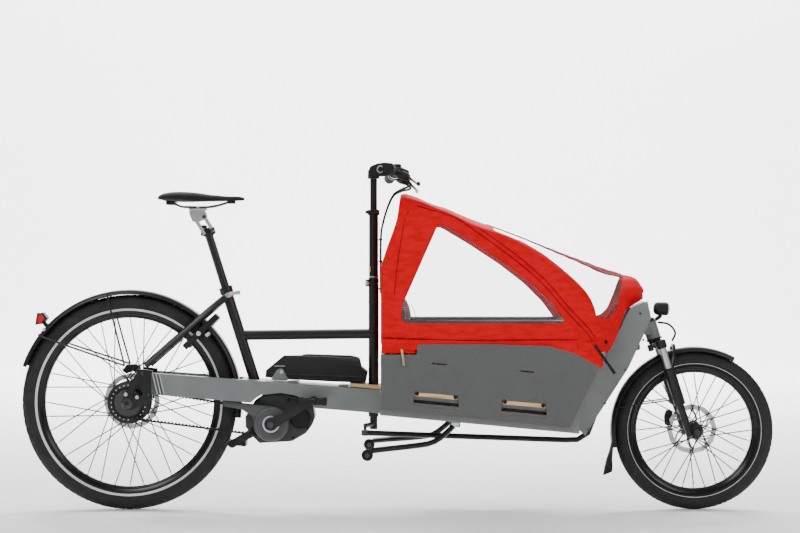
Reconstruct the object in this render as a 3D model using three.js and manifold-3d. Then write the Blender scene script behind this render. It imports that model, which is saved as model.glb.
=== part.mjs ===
// A front-loading electric cargo bicycle, in millimetres.
// +X is forward, +Z is up and +Y is the rider's left. The origin is on the ground, midway along the bicycle.
import * as THREE from 'three';
import { mergeVertices } from 'three/addons/utils/BufferGeometryUtils.js';
import Module from 'manifold-3d';

const wasm = await Module();
wasm.setup();

// ---------------------------------------------------------------- driving dimensions
const GAP = 0.4; // between pieces that rest on each other
const RAKE_ANGLE = THREE.MathUtils.degToRad(17.5); // steering axis and seat tube, back from upright
const SIN = Math.sin(RAKE_ANGLE), COS = Math.cos(RAKE_ANGLE);

const REAR = { x: -855, r: 343, width: 62, rimOuter: 288, rimInner: 269, spokes: 18,
  flangeR: 64, flangeY: 30, lacing: 0.75 };
const FRONT = { x: 949, r: 253, width: 52, rimOuter: 203, rimInner: 184.5, spokes: 16,
  flangeR: 24, flangeY: 30, lacing: 1.05 };
const FORK_RAKE = 33; // axle ahead of the steering axis
const COLUMN_X = -75; // upright steering column behind the box
const CRANK = { x: -399, z: 277, arm: 157, angle: THREE.MathUtils.degToRad(29.5) };
const BELT = { yNear: -58, yFar: -46, rear: 45.5, front: 38.5, thick: 3.5 };
const STAY = { inner: 62, outer: 86 }; // lateral faces of the chainstays and beam
const SEAT_FOOT = { x: -457, z: 417 }; // where the seat tube meets the beam
const BOX = { half: 240, ply: 12, rearX: -50, floorLow: 52.8, floorHigh: 64.8 };
const STEER_ARM = { x: -26, y: -64 }; // ball joint from either steering axis
const HEAD = { low: 317, high: 374 }; // head tube, along the steering axis from the axle's level
const STAND = { x: 183, z: 284 }; // pivot of the two-legged stand
const LOWER_FRONT = { x: -590, z: 893 }, LOWER_REAR = { x: -618, z: 884 }; // seatpost link pivots
const LINK = { x: -26, z: 42 }; // from a lower pivot to its upper one

const beamTop = (x) => 386 - 0.0737 * (x + 50);
const beamBottom = (x) => 312 - 0.083 * (x + 56);
const boxBottom = (x) => 334 - 0.0932 * (x + 50);

// ---------------------------------------------------------------- materials
const paint = (color, roughness, metalness = 0) => new THREE.MeshStandardMaterial({ color, roughness, metalness });
const MAT = {
  greyFrame: paint(0x7d8483, 0.45, 0.3), blackFrame: paint(0x17181a, 0.4, 0.2),
  rubber: paint(0x1b1b1c, 0.85), rim: paint(0x101011, 0.35, 0.5), steel: paint(0xb4b6b8, 0.3, 1),
  plastic: paint(0x1c1c1e, 0.6), motorGrey: paint(0x58595b, 0.55), ply: paint(0xc79a62, 0.7),
  panel: paint(0x5a5b5d, 0.7), red: paint(0xd8141c, 0.8), tartan: paint(0x4a4d55, 0.9),
  lens: paint(0xc21720, 0.2), alloy: paint(0xa9abad, 0.35, 0.9), leather: paint(0x141415, 0.6),
  film: paint(0xe4e8ea, 0.1),
};

// ---------------------------------------------------------------- solid modelling helpers
// A geometry as a manifold-3d solid, with its faces turned outwards.
function solid(geometry) {
  const bare = geometry.index ? geometry.toNonIndexed() : geometry.clone();
  const merged = mergeVertices(new THREE.BufferGeometry().setAttribute('position', bare.getAttribute('position')), 1e-3);
  const p = merged.attributes.position.array, t = new Uint32Array(merged.index.array);
  let volume = 0;
  const a = new THREE.Vector3(), b = new THREE.Vector3(), c = new THREE.Vector3();
  for (let i = 0; i < t.length; i += 3) {
    a.fromArray(p, t[i] * 3), b.fromArray(p, t[i + 1] * 3), c.fromArray(p, t[i + 2] * 3);
    volume += a.dot(b.cross(c));
  }
  if (volume < 0) for (let i = 0; i < t.length; i += 3) [t[i + 1], t[i + 2]] = [t[i + 2], t[i + 1]];
  return new wasm.Manifold(new wasm.Mesh({ numProp: 3, vertProperties: p, triVerts: t }));
}

// A manifold-3d solid as a geometry.
function geometryOf(made) {
  const m = made.getMesh(), v = new Float32Array(m.numVert * 3);
  for (let i = 0; i < m.numVert; i++) v.set(m.vertProperties.subarray(i * m.numProp, i * m.numProp + 3), i * 3);
  return new THREE.BufferGeometry().setAttribute('position', new THREE.BufferAttribute(v, 3))
    .setIndex(new THREE.BufferAttribute(new Uint32Array(m.triVerts), 1));
}
const join = (...parts) => geometryOf(parts.map(solid).reduce((all, one) => all.add(one)));
const cut = (body, ...tools) => geometryOf(tools.map(solid).reduce((all, one) => all.subtract(one), solid(body)));

// A closed body through equal rings of points, with flat ends cut to the outline.
function loft(rings, outline, endless = false) {
  const n = rings[0].length, points = rings.flat(), index = [];
  const last = endless ? rings.length : rings.length - 1;
  for (let i = 0; i < last; i++) for (let k = 0; k < n; k++) {
    const a = i * n + k, b = i * n + (k + 1) % n;
    const c = ((i + 1) % rings.length) * n + (k + 1) % n, d = ((i + 1) % rings.length) * n + k;
    index.push(a, b, c, a, c, d);
  }
  const anticlockwise = THREE.ShapeUtils.area(outline) > 0, e = (rings.length - 1) * n;
  if (!endless) for (const [i, j, k] of THREE.ShapeUtils.triangulateShape(outline, [])) {
    if (anticlockwise) index.push(k, j, i, e + i, e + j, e + k);
    else index.push(i, j, k, e + k, e + j, e + i);
  }
  const flat = new Float32Array(points.flatMap((q) => [q.x, q.y, q.z]));
  return new THREE.BufferGeometry().setAttribute('position', new THREE.BufferAttribute(flat, 3)).setIndex(index);
}
const circle = (radius, sides) => Array.from({ length: sides }, (_, i) =>
  new THREE.Vector2(Math.cos(i / sides * 2 * Math.PI), Math.sin(i / sides * 2 * Math.PI)).multiplyScalar(radius));
const v3 = (x, y, z) => new THREE.Vector3(x, y, z);

// A round bar or, with a bore, a tube between two points.
function bar(from, to, radius, sides = 16, bore = 0) {
  const length = from.distanceTo(to);
  const place = (g) => g.rotateX(Math.PI / 2).translate(0, 0, length / 2)
    .applyQuaternion(new THREE.Quaternion().setFromUnitVectors(v3(0, 0, 1), to.clone().sub(from).normalize()))
    .translate(from.x, from.y, from.z);
  const body = place(new THREE.CylinderGeometry(radius, radius, length, sides));
  return bore ? cut(body, place(new THREE.CylinderGeometry(bore, bore, length + 2, sides))) : body;
}

// A round bar along a smooth curve through the points.
function bent(points, radius, sides = 10, steps = 24, tension = 0.5) {
  const path = new THREE.CatmullRomCurve3(points, false, 'catmullrom', tension);
  return new THREE.ExtrudeGeometry(new THREE.Shape(circle(radius, sides)), { steps, bevelEnabled: false, extrudePath: path });
}

// A flat plate: an outline of [x, z] points, between two lateral faces, with holes through it.
function plate(outline, yLow, yHigh, holes = []) {
  const shape = new THREE.Shape(outline.map(([x, z]) => new THREE.Vector2(x, z)));
  const body = new THREE.ExtrudeGeometry(shape, { depth: yHigh - yLow, bevelEnabled: false })
    .rotateX(Math.PI / 2).translate(0, yHigh, 0);
  return holes.length ? cut(body, ...holes.map((hole) => plate(hole, yLow - 1, yHigh + 1))) : body;
}

// A body that mirrors about the middle plane: [x, z, half width] points, its two sides joined by flat strips.
function tapered(corners) {
  const outline = corners.map(([x, z]) => new THREE.Vector2(x, z));
  return geometryOf(solid(loft([-1, 1].map((s) => corners.map(([x, z, half]) => v3(x, s * half, z))), outline)));
}
const block = (xLow, xHigh, yLow, yHigh, zLow, zHigh) =>
  new THREE.BoxGeometry(xHigh - xLow, yHigh - yLow, zHigh - zLow)
    .translate((xLow + xHigh) / 2, (yLow + yHigh) / 2, (zLow + zHigh) / 2);

// A turned body about the lateral axis through (x, z): [radius, y] points.
const turned = (x, z, profile, sides = 32) =>
  new THREE.LatheGeometry(profile.map(([r, y]) => new THREE.Vector2(r, y)), sides).translate(x, 0, z);

// A section of [radius, y] points swept about the lateral axis through (x, z), between two angles.
function arc(x, z, section, from, to, steps) {
  const rings = Array.from({ length: steps + 1 }, (_, i) => {
    const a = THREE.MathUtils.degToRad(from + (to - from) * i / steps);
    return section.map(([r, y]) => v3(x + r * Math.cos(a), y, z + r * Math.sin(a)));
  });
  return loft(rings, section.map(([r, y]) => new THREE.Vector2(r, y)));
}

const bike = new THREE.Group();
function add(name, geometry, material, parent = bike) {
  const mesh = new THREE.Mesh(geometry, material);
  mesh.name = name;
  parent.add(mesh);
  return mesh;
}

// A group whose local z runs up the steering axis and whose local x points forward, square to it.
const forkFoot = v3(FRONT.x - FORK_RAKE * COS, 0, FRONT.r - FORK_RAKE * SIN);
const fork = new THREE.Group();
fork.position.copy(forkFoot);
fork.rotation.y = -RAKE_ANGLE;
bike.add(fork);

// A point on the seat tube's axis, at a distance up it from the beam.
const onSeatTube = (t, y = 0) => v3(SEAT_FOOT.x - t * SIN, y, SEAT_FOOT.z + t * COS);

// ---------------------------------------------------------------- wheels
function tyreProfile(w) {
  const half = w.width / 2, centre = w.r - half, wall = 5, profile = [];
  const limit = Math.acos((w.rimOuter + GAP - centre) / half);
  const innerLimit = Math.acos(Math.max((w.rimOuter + GAP - centre) / (half - wall), -0.9));
  const steps = 6, innerSteps = 3;
  for (let i = 0; i <= steps; i++) {
    const a = -limit + 2 * limit * i / steps;
    profile.push([centre + half * Math.cos(a), half * Math.sin(a)]);
  }
  for (let i = innerSteps; i >= 0; i--) {
    const a = -innerLimit + 2 * innerLimit * i / innerSteps;
    profile.push([centre + (half - wall) * Math.cos(a), (half - wall) * Math.sin(a)]);
  }
  return [...profile, profile[0]];
}

function rimProfile(w) {
  const o = w.rimOuter, i = w.rimInner;
  const p = [[i, -10], [i + 6, -15], [o, -17], [o, -14], [o - 7, -11], [o - 7, 11], [o, 14], [o, 17], [i + 6, 15], [i, 10]];
  return [...p, p[0]];
}

// Crossed wire spokes, joined to the two flange rings that hold their heads.
function spokeCage(w) {
  const wires = [];
  for (let i = 0; i < w.spokes; i++) {
    const side = i % 2 ? 1 : -1, lean = Math.floor(i / 2) % 2 ? 1 : -1;
    const rimAngle = i / w.spokes * 2 * Math.PI, hubAngle = rimAngle + lean * w.lacing;
    const head = v3(w.flangeR * Math.cos(hubAngle), side * w.flangeY, w.flangeR * Math.sin(hubAngle));
    const reach = w.rimInner - 2.5;
    wires.push(bar(head, v3(reach * Math.cos(rimAngle), side * 3, reach * Math.sin(rimAngle)), 1.3, 3));
  }
  const ring = (y) => turned(0, 0, [[w.flangeR - 3, y - 2], [w.flangeR + 3, y - 2], [w.flangeR + 3, y + 2],
    [w.flangeR - 3, y + 2], [w.flangeR - 3, y - 2]], 18);
  // A thin hoop at the rim ties the wires of both flanges together.
  const hoopR = w.rimInner - 5;
  const hoop = turned(0, 0, [[hoopR - 1.2, -3.6], [hoopR + 1.2, -3.6], [hoopR + 1.2, 3.6], [hoopR - 1.2, 3.6],
    [hoopR - 1.2, -3.6]], 18);
  return join(ring(-w.flangeY), ring(w.flangeY), hoop, ...wires).translate(w.x, 0, w.r);
}

function discBlade(x, z, radius, y) {
  return turned(x, z, [[0, y - 1], [radius, y - 1], [radius, y + 1], [0, y + 1]], 24);
}

add('rear_tyre', turned(REAR.x, REAR.r, tyreProfile(REAR), 32), MAT.rubber);
add('rear_rim', turned(REAR.x, REAR.r, rimProfile(REAR), 32), MAT.rim);
add('rear_spokes', spokeCage(REAR), MAT.steel);
add('rear_hub', join(
  turned(REAR.x, REAR.r, [[0, -58], [11.5, -58], [11.5, -43], [38, -43], [50, -36], [59, -33], [59, 33], [50, 37], [22, 40], [22, 56], [0, 56]], 24),
  discBlade(REAR.x, REAR.r, 90, 50)), MAT.plastic);

add('front_tyre', turned(FRONT.x, FRONT.r, tyreProfile(FRONT), 32), MAT.rubber);
add('front_rim', turned(FRONT.x, FRONT.r, rimProfile(FRONT), 32), MAT.rim);
add('front_spokes', spokeCage(FRONT), MAT.steel);
add('front_hub', join(
  turned(FRONT.x, FRONT.r, [[0, -46], [12, -46], [20, -33], [20, 33], [14, 38], [14, 46], [0, 46]], 20),
  discBlade(FRONT.x, FRONT.r, 80, 41)), MAT.plastic);

// ---------------------------------------------------------------- belt drive, crank and motor
function sprocket(radius, boreRadius) {
  return turned(0, 0, [[boreRadius, BELT.yNear + 2], [radius, BELT.yNear + 2], [radius, BELT.yFar - 1],
    [boreRadius, BELT.yFar - 1], [boreRadius, BELT.yNear + 2]], 36);
}
add('rear_sprocket', sprocket(BELT.rear - 0.6, 12).translate(REAR.x, 0, REAR.r), MAT.steel);
add('front_sprocket', sprocket(BELT.front - 0.6, 13).translate(CRANK.x, 0, CRANK.z), MAT.steel);

// The belt follows both sprockets and the outer tangents between them.
function beltOutline(extra) {
  const r1 = BELT.rear + extra, r2 = BELT.front + extra;
  const dx = CRANK.x - REAR.x, dz = CRANK.z - REAR.r;
  const heading = Math.atan2(dz, dx), spread = Math.acos((r1 - r2) / Math.hypot(dx, dz));
  const points = [], steps = 14;
  for (let i = 0; i <= steps; i++) {
    const a = heading + spread + (2 * Math.PI - 2 * spread) * i / steps;
    points.push([REAR.x + r1 * Math.cos(a), REAR.r + r1 * Math.sin(a)]);
  }
  for (let i = 0; i <= steps; i++) {
    const a = heading - spread + 2 * spread * i / steps;
    points.push([CRANK.x + r2 * Math.cos(a), CRANK.z + r2 * Math.sin(a)]);
  }
  return points;
}
add('belt', cut(plate(beltOutline(BELT.thick), BELT.yNear, BELT.yFar),
  plate(beltOutline(0.4), BELT.yNear - 1, BELT.yFar + 1)), MAT.rubber);

const MOTOR_OUTLINE = [[-452, 350], [-428, 366], [-368, 373], [-325, 365], [-300, 354], [-266, 328], [-261, 297],
  [-270, 272], [-289, 246], [-334, 220], [-438, 214], [-464, 240], [-482, 266], [-483, 298]];
add('motor', cut(plate(MOTOR_OUTLINE, -42, 60),
  bar(v3(CRANK.x, -60, CRANK.z), v3(CRANK.x, 80, CRANK.z), 12)), MAT.motorGrey);

const GUARD = { yLow: -67, yHigh: -61 };
function guardOutline() {
  const points = [[-554, 352], [-460, 341], [-400, 333]];
  for (let a = 75; a >= -170; a -= 24.5) {
    const t = THREE.MathUtils.degToRad(a);
    points.push([CRANK.x + 55 * Math.cos(t), CRANK.z + 55 * Math.sin(t)]);
  }
  return [...points, [-456, 300], [-490, 322], [-548, 334]];
}
add('belt_guard', cut(plate(guardOutline(), GUARD.yLow, GUARD.yHigh),
  bar(v3(CRANK.x, -80, CRANK.z), v3(CRANK.x, -50, CRANK.z), 22)), MAT.motorGrey);

const crankTip = (side) => v3(CRANK.x - side * CRANK.arm * Math.cos(CRANK.angle), 0,
  CRANK.z - side * CRANK.arm * Math.sin(CRANK.angle));
function crankArm(side) {
  const tip = crankTip(side);
  const root = v3(CRANK.x, side * 94, CRANK.z), end = v3(tip.x, side * 100, tip.z);
  const rings = [[0, 19], [0.25, 15], [0.9, 12], [1, 13]].map(([t, half]) => {
    const mid = root.clone().lerp(end, t), along = tip.clone().sub(v3(CRANK.x, 0, CRANK.z)).normalize();
    const across = v3(-along.z, 0, along.x).multiplyScalar(half);
    return [[1, 1], [-1, 1], [-1, -1], [1, -1]].map(([u, w]) =>
      mid.clone().addScaledVector(across, u).add(v3(0, w * 6, 0)));
  });
  const outline = [[1, 1], [-1, 1], [-1, -1], [1, -1]].map(([u, w]) => new THREE.Vector2(u, w));
  const pin = bar(v3(tip.x, side * 96, tip.z), v3(tip.x, side * 122, tip.z), 6.5, 12);
  const boss = bar(v3(CRANK.x, side * 86.6, CRANK.z), v3(CRANK.x, side * 102, CRANK.z), 19, 18);
  return [loft(rings, outline), pin, boss, bar(v3(tip.x, side * 93, tip.z), v3(tip.x, side * 107, tip.z), 13, 16)];
}
add('crank_set', join(bar(v3(CRANK.x, -96, CRANK.z), v3(CRANK.x, 96, CRANK.z), 9, 16),
  ...crankArm(-1), ...crankArm(1)), MAT.blackFrame);
const PEDAL = { length: 86, thick: 22, yIn: 109, yOut: 197 };
for (const [name, side] of [['pedal_right', -1], ['pedal_left', 1]]) {
  const tip = crankTip(side), inner = side * PEDAL.yIn, outer = side * PEDAL.yOut;
  add(name, cut(block(tip.x - PEDAL.length / 2, tip.x + PEDAL.length / 2, Math.min(inner, outer),
    Math.max(inner, outer), tip.z - PEDAL.thick / 2, tip.z + PEDAL.thick / 2),
  bar(v3(tip.x, side * 80, tip.z), v3(tip.x, side * 124, tip.z), 7.2, 12)), MAT.plastic);
}

// ---------------------------------------------------------------- rear frame
const motorArch = plate(MOTOR_OUTLINE.map(([x, z]) => [CRANK.x + 26 + (x - CRANK.x - 26) * 1.05, z + 4]), -100, 100);
const BEAM = { stayRear: -774, rear: -492, front: -53 };
function beamBox(xLow, xHigh, yLow, yHigh, inset) {
  return plate([[xLow, beamTop(xLow) - inset], [xLow, beamBottom(xLow) + inset],
    [xHigh, beamBottom(xHigh) + inset], [xHigh, beamTop(xHigh) - inset]], yLow + inset, yHigh - inset);
}
const beamBody = (over, inset) => join(beamBox(BEAM.rear, BEAM.front + over, -STAY.outer, STAY.outer, inset),
  beamBox(BEAM.stayRear - over, BEAM.rear + 30, -STAY.outer, -STAY.inner, inset),
  beamBox(BEAM.stayRear - over, BEAM.rear + 30, STAY.inner, STAY.outer, inset));
add('main_beam', cut(beamBody(0, 0), beamBody(5, 4), motorArch,
  bar(v3(COLUMN_X, 0, 250), v3(COLUMN_X, 0, 450), 17.2)), MAT.greyFrame);

for (const [name, side] of [['dropout_right', -1], ['dropout_left', 1]]) {
  const outline = [[-819, 452], [BEAM.stayRear - GAP, 447], [BEAM.stayRear - GAP, 358], [-800, 341],
    [REAR.x + 14, REAR.r - 22], [REAR.x - 12, REAR.r - 16], [REAR.x - 16, REAR.r + 10]];
  const lightening = [[-822, 402], [-800, 368], [-838, 368]];
  const near = Math.min(side * 64, side * 74), far = Math.max(side * 64, side * 74);
  add(name, join(plate(outline, near, far, [lightening]),
    bar(v3(REAR.x, side * 58.6, REAR.r), v3(REAR.x, side * 86, REAR.r), 8, 14)), MAT.blackFrame);
}
const overBeam = plate([[-700, 300], [-200, 300], [-200, beamTop(-200) + GAP], [-700, beamTop(-700) + GAP]], -60, 60);
add('seat_tube', cut(join(bar(onSeatTube(-12), onSeatTube(300), 17.5, 18), bar(onSeatTube(286), onSeatTube(308), 22, 18)),
  overBeam, bar(onSeatTube(10), onSeatTube(320), 14, 18)), MAT.blackFrame);
const seatTubeRoom = bar(onSeatTube(-20), onSeatTube(284), 17.5 + GAP, 18);
const stay = (side) => bent([v3(-797, side * 69, 461), v3(-610, side * 50, 625), v3(-548, side * 24, 678)], 11, 10, 5, 0.3);
add('seat_stays', cut(join(stay(-1), stay(1), bar(v3(-553, -27, 672), v3(-553, 27, 672), 10, 12)), seatTubeRoom),
  MAT.blackFrame);
add('top_tube', cut(bar(v3(-500, 0, 556), v3(COLUMN_X, 0, 561), 16, 20), seatTubeRoom,
  bar(v3(-490, 0, 556.4), v3(COLUMN_X, 0, 561), 13, 20),
  bar(v3(COLUMN_X, 0, 500), v3(COLUMN_X, 0, 600), 16.5 + GAP, 18)), MAT.blackFrame);
add('column_tube', bar(v3(COLUMN_X, 0, 296), v3(COLUMN_X, 0, 722), 16.5, 18, 13.4), MAT.blackFrame);

// ---------------------------------------------------------------- cargo frame, box and bench
const slab = (xLow, xHigh, low, high, half) => plate([[xLow, boxBottom(xLow) + low], [xHigh, boxBottom(xHigh) + low],
  [xHigh, boxBottom(xHigh) + high], [xLow, boxBottom(xLow) + high]], -half, half);
const onSteer = (u, x = 0, y = 0) => v3(x, y, u).applyEuler(fork.rotation).add(forkFoot);
const CHEEK = [[546, 285], [593, 243], [633, 308], [730, 458], [801, 614], [789, 667], [739, 645]];
const standLug = (y) => plate([[STAND.x - 22, 362], [STAND.x - 16, 270], [STAND.x + 16, 270], [STAND.x + 22, 358]], y - 4, y + 4);
add('cargo_frame', cut(join(
  cut(slab(BEAM.front + GAP, 564, -18, BOX.floorLow - GAP, 224), slab(BEAM.front + 6, 552, -30, BOX.floorLow - 6, 218)),
  plate(CHEEK, -106, -100), plate(CHEEK, 100, 106),
  plate([[548, 272], [554, 269], [740, 643], [735, 646]], -106, 106),
  plate([[742, 642], [770, 600], [799, 612], [789, 665]], -104, 104),
  plate([[756, 604], [794, 556], [812, 562], [795, 606]], -22, 22),
  bar(onSteer(HEAD.low), onSteer(HEAD.high), 23, 18),
  standLug(-100), standLug(100)),
bar(onSteer(HEAD.low - 5), onSteer(HEAD.high + 50), 15, 18), bar(onSteer(HEAD.high + 1), onSteer(HEAD.high + 16), 22, 18),
bar(v3(STAND.x, -130, STAND.z), v3(STAND.x, 130, STAND.z), 10.5, 20)), MAT.greyFrame);

add('cargo_tub', cut(join(slab(-150, 0, BOX.floorLow, BOX.floorHigh - 2, 78),
  slab(BOX.rearX, 552, BOX.floorLow, BOX.floorHigh, 227),
  ...[[56, 186], [327, 457]].map(([a, b]) => slab(a, b, BOX.floorLow, BOX.floorHigh, BOX.half - 0.5)),
  block(BOX.rearX, BOX.rearX + BOX.ply, -227, 227, 388, 504),
  plate([[546, 333], [560, 333], [623, 461], [609, 461]], -227, 227)),
bar(v3(COLUMN_X, 0, 350), v3(COLUMN_X, 0, 450), 17.2)), MAT.ply);

const slotAt = (xLow, xHigh, low, high) => [[xLow, boxBottom(xLow) + low], [xHigh, boxBottom(xHigh) + low],
  [xHigh, boxBottom(xHigh) + high], [xLow, boxBottom(xLow) + high]];
const PANEL_OUTLINE = [[BOX.rearX, 334], [534, boxBottom(534)], [625, 466], [548, 508], [470, 530], [300, 536],
  [66, 536], [60, 504], [BOX.rearX, 504]];
const PANEL_SLOTS = [slotAt(51, 191, 22, 66), slotAt(322, 462, 22, 66), slotAt(108, 154, 156, 160),
  slotAt(380, 423, 158, 162)];
add('side_panel_right', plate(PANEL_OUTLINE, -BOX.half, -BOX.half + BOX.ply, PANEL_SLOTS), MAT.panel);
add('side_panel_left', plate(PANEL_OUTLINE, BOX.half - BOX.ply, BOX.half, PANEL_SLOTS), MAT.panel);
add('child_seat', plate([[-28, 401], [288, 371], [300, 392], [288, 430], [72, 452], [38, 676], [12, 690], [-14, 676]],
  -198, 198), MAT.tartan);

// ---------------------------------------------------------------- canopy over the box
// Stations along the tent: [x, foot height, side height, ridge height, half width].
const TENT = [[-50, 538, 736, 745, 236], [-20, 538, 842, 852, 237], [0, 538, 915, 926, 237], [12, 538, 980, 1000, 237],
  [133, 538, 950, 968, 238], [237, 538, 900, 928, 238], [322, 538, 872, 897, 238], [389, 538, 842, 872, 238],
  [450, 538, 802, 848, 238], [511, 538, 744, 824, 238], [572, 538, 677, 801, 234], [610, 540, 630, 787, 222],
  [655, 568, 600, 770, 176], [715, 652, 668, 752, 112], [764, 684, 694, 738, 62], [786, 694, 698, 708, 30]];
function tent(inset, drop) {
  const ring = ([x, foot, side, ridge, half], i) => {
    const h = half - inset, s = side - inset, r = ridge - inset, rise = r - s;
    const along = i === 0 ? x + inset : i === TENT.length - 1 ? x - inset : x;
    return [[-h, foot - drop], [-h, s], [-h * 0.93, s + rise * 0.3], [-h * 0.5, s + rise * 0.82], [0, r],
      [h * 0.5, s + rise * 0.82], [h * 0.93, s + rise * 0.3], [h, s], [h, foot - drop]]
      .map(([y, z]) => v3(along, y, z));
  };
  const outline = ring(TENT[4], 4).map((p) => new THREE.Vector2(p.y, p.z));
  return loft(TENT.map(ring), outline);
}
const SIDE_WINDOW = [[145, 905], [127, 905], [16, 654], [13, 613], [29, 601], [511, 601], [518, 608], [480, 660],
  [419, 721], [340, 782], [237, 850]];
const SCREEN = [[300, 886], [389, 854], [452, 812], [513, 754], [574, 688], [618, 640], [662, 642], [700, 700],
  [716, 740], [716, 900], [300, 960]];
// The same outline with every edge moved inwards.
function inward(outline, by) {
  const turn = THREE.ShapeUtils.area(outline.map(([x, y]) => new THREE.Vector2(x, y))) > 0 ? by : -by;
  return outline.map(([x, y], i) => {
    const [px, py] = outline[(i + outline.length - 1) % outline.length], [nx, ny] = outline[(i + 1) % outline.length];
    const before = new THREE.Vector2(x - px, y - py).normalize(), after = new THREE.Vector2(nx - x, ny - y).normalize();
    const middle = new THREE.Vector2(-before.y - after.y, before.x + after.x);
    const reach = turn / (0.5 * middle.lengthSq());
    return [x + middle.x * reach, y + middle.y * reach];
  });
}
const shell = cut(tent(0, 0), tent(4, 10));
add('canopy', cut(shell, plate(SIDE_WINDOW, -260, -200), plate(SIDE_WINDOW, 200, 260), plate(SCREEN, -215, 215)), MAT.red);
add('windscreen', geometryOf(solid(shell).intersect(solid(plate(inward(SCREEN, GAP), -214.5, 214.5)))), MAT.film);
add('side_window_right', plate(inward(SIDE_WINDOW, GAP), -237, -235), MAT.film);
add('side_window_left', plate(inward(SIDE_WINDOW, GAP), 235, 237), MAT.film);
add('canopy_rail', bent([v3(0, -219, 600), v3(520, -219, 600), v3(560, -180, 600), v3(560, 180, 600), v3(520, 219, 600),
  v3(0, 219, 600)], 11, 8, 20, 0.1), MAT.blackFrame);

// ---------------------------------------------------------------- battery, fenders, lights, lock, brakes
add('battery', tapered([[-419, 424, 42], [-363, 418, 44], [-190, 409, 44], [-100, 406, 44], [-93, 440, 42],
  [-113, 457, 44], [-119, 482, 36], [-124, 486, 26], [-306, 492, 26], [-363, 491, 32], [-417, 446, 42]]), MAT.plastic);

const fenderSection = (r, half) => [[r - 12, -half], [r - 3, -half + 4], [r, -half + 12], [r, half - 12],
  [r - 3, half - 4], [r - 12, half], [r - 14, half - 2], [r - 5, half - 7], [r - 2, half - 14], [r - 2, -half + 14],
  [r - 5, -half + 7], [r - 14, -half + 2]];
const polar = (w, r, degrees, y) => v3(w.x + r * Math.cos(THREE.MathUtils.degToRad(degrees)), y,
  w.r + r * Math.sin(THREE.MathUtils.degToRad(degrees)));
const rearStay = (degrees, side) => bent([polar(REAR, 349, degrees, side * 34), polar(REAR, 335, degrees, side * 44),
  v3(-863, side * 68, 462)], 2.4, 5, 4, 0.2);
add('rear_fender', join(arc(REAR.x, REAR.r, fenderSection(359, 37), -8, 161, 20),
  ...[101, 142].flatMap((a) => [rearStay(a, -1), rearStay(a, 1)])), MAT.plastic);
add('rear_light', join(plate([[-1155, 588], [-1147, 628], [-1122, 632], [-1108, 608], [-1127, 592]], -24, 24),
  bar(v3(-1132, 0, 598), polar(REAR, 359.6, 137.5, 0), 6, 10)), MAT.lens);

// The ring lock lies in a plane through the rear axle: its outline is in [distance from the axle, y].
function radialPlate(degrees, outline, thick) {
  const shape = new THREE.Shape(outline.map(([r, y]) => new THREE.Vector2(r, y)));
  return new THREE.ExtrudeGeometry(shape, { depth: thick, bevelEnabled: false })
    .translate(0, 0, -thick / 2)
    .applyMatrix4(new THREE.Matrix4().makeRotationY(-THREE.MathUtils.degToRad(degrees)))
    .translate(REAR.x, 0, REAR.r);
}
add('ring_lock', radialPlate(44.3, [[258, 46], [250, 52], [256, 60], [330, 66], [372, 58], [394, 34], [396, -34],
  [372, -58], [330, -66], [256, -60], [250, -52], [258, -46], [330, -47], [363, -40], [364, 40], [330, 47]], 20),
MAT.plastic);
add('rear_caliper', cut(block(-886, -824, 41, 60, 412, 462), block(-900, -800, 47.6, 52.4, 400, 436)), MAT.plastic);

// ---------------------------------------------------------------- steering: column, stem, bar and tie rod
const armEnd = v3(COLUMN_X + STEER_ARM.x, STEER_ARM.y, 264);
add('steering_column', cut(join(
  bar(v3(COLUMN_X, 0, 256), v3(COLUMN_X, 0, 730), 12.6, 18),
  bar(v3(COLUMN_X, 0, 722.6), v3(COLUMN_X, 0, 738), 17.2, 18),
  bar(v3(COLUMN_X, 0, 726), v3(COLUMN_X, 0, 944), 15, 18),
  bar(v3(COLUMN_X, 0, 940), v3(COLUMN_X, 0, 957), 19, 18),
  bar(v3(COLUMN_X, 0, 272), v3(armEnd.x, armEnd.y, 272), 7.5, 10),
  bar(v3(armEnd.x, armEnd.y, 274), v3(armEnd.x, armEnd.y, 258.6), 5, 12)),
bar(v3(COLUMN_X, 0, 780), v3(COLUMN_X, 0, 970), 12, 18)), MAT.blackFrame);
add('bar_column', bar(v3(COLUMN_X, 0, 800), v3(COLUMN_X, 0, 1056), 11.5, 18), MAT.blackFrame);

const BAR_PATH = [v3(-8, 0, 1076), v3(-8, -60, 1076), v3(-15, -190, 1076), v3(-26, -335, 1072)];
const mirrored = (p) => v3(p.x, -p.y, p.z);
const barLine = [...BAR_PATH.slice(1).reverse(), ...BAR_PATH.slice(1).map(mirrored)];
const onGrip = (t, side) => v3(-15 - 11 * t, side * (190 + 145 * t), 1076 - 4 * t);
const leverMount = (side) => [bar(onGrip(-0.08, side), onGrip(0.06, side), 16, 14),
  bar(v3(-8, side * 182, 1070), v3(22, side * 176, 1058), 7, 10)];
add('handlebar', join(bent(barLine, 11, 8, 10, 0.02), ...leverMount(-1), ...leverMount(1)), MAT.blackFrame);
add('stem', cut(join(bar(v3(COLUMN_X, 0, 1056.4), v3(COLUMN_X, 0, 1084), 19, 20),
  bar(v3(-53, -21, 1086), v3(-53, 21, 1086), 16, 20), block(-80, -50, -17, 17, 1066, 1096),
  block(-52, -12, -15, 15, 1070, 1092), bar(v3(-8, -24, 1076), v3(-8, 18, 1076), 19, 20)),
bar(v3(-8, -30, 1076), v3(-8, 30, 1076), 12, 20)), MAT.blackFrame);
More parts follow.
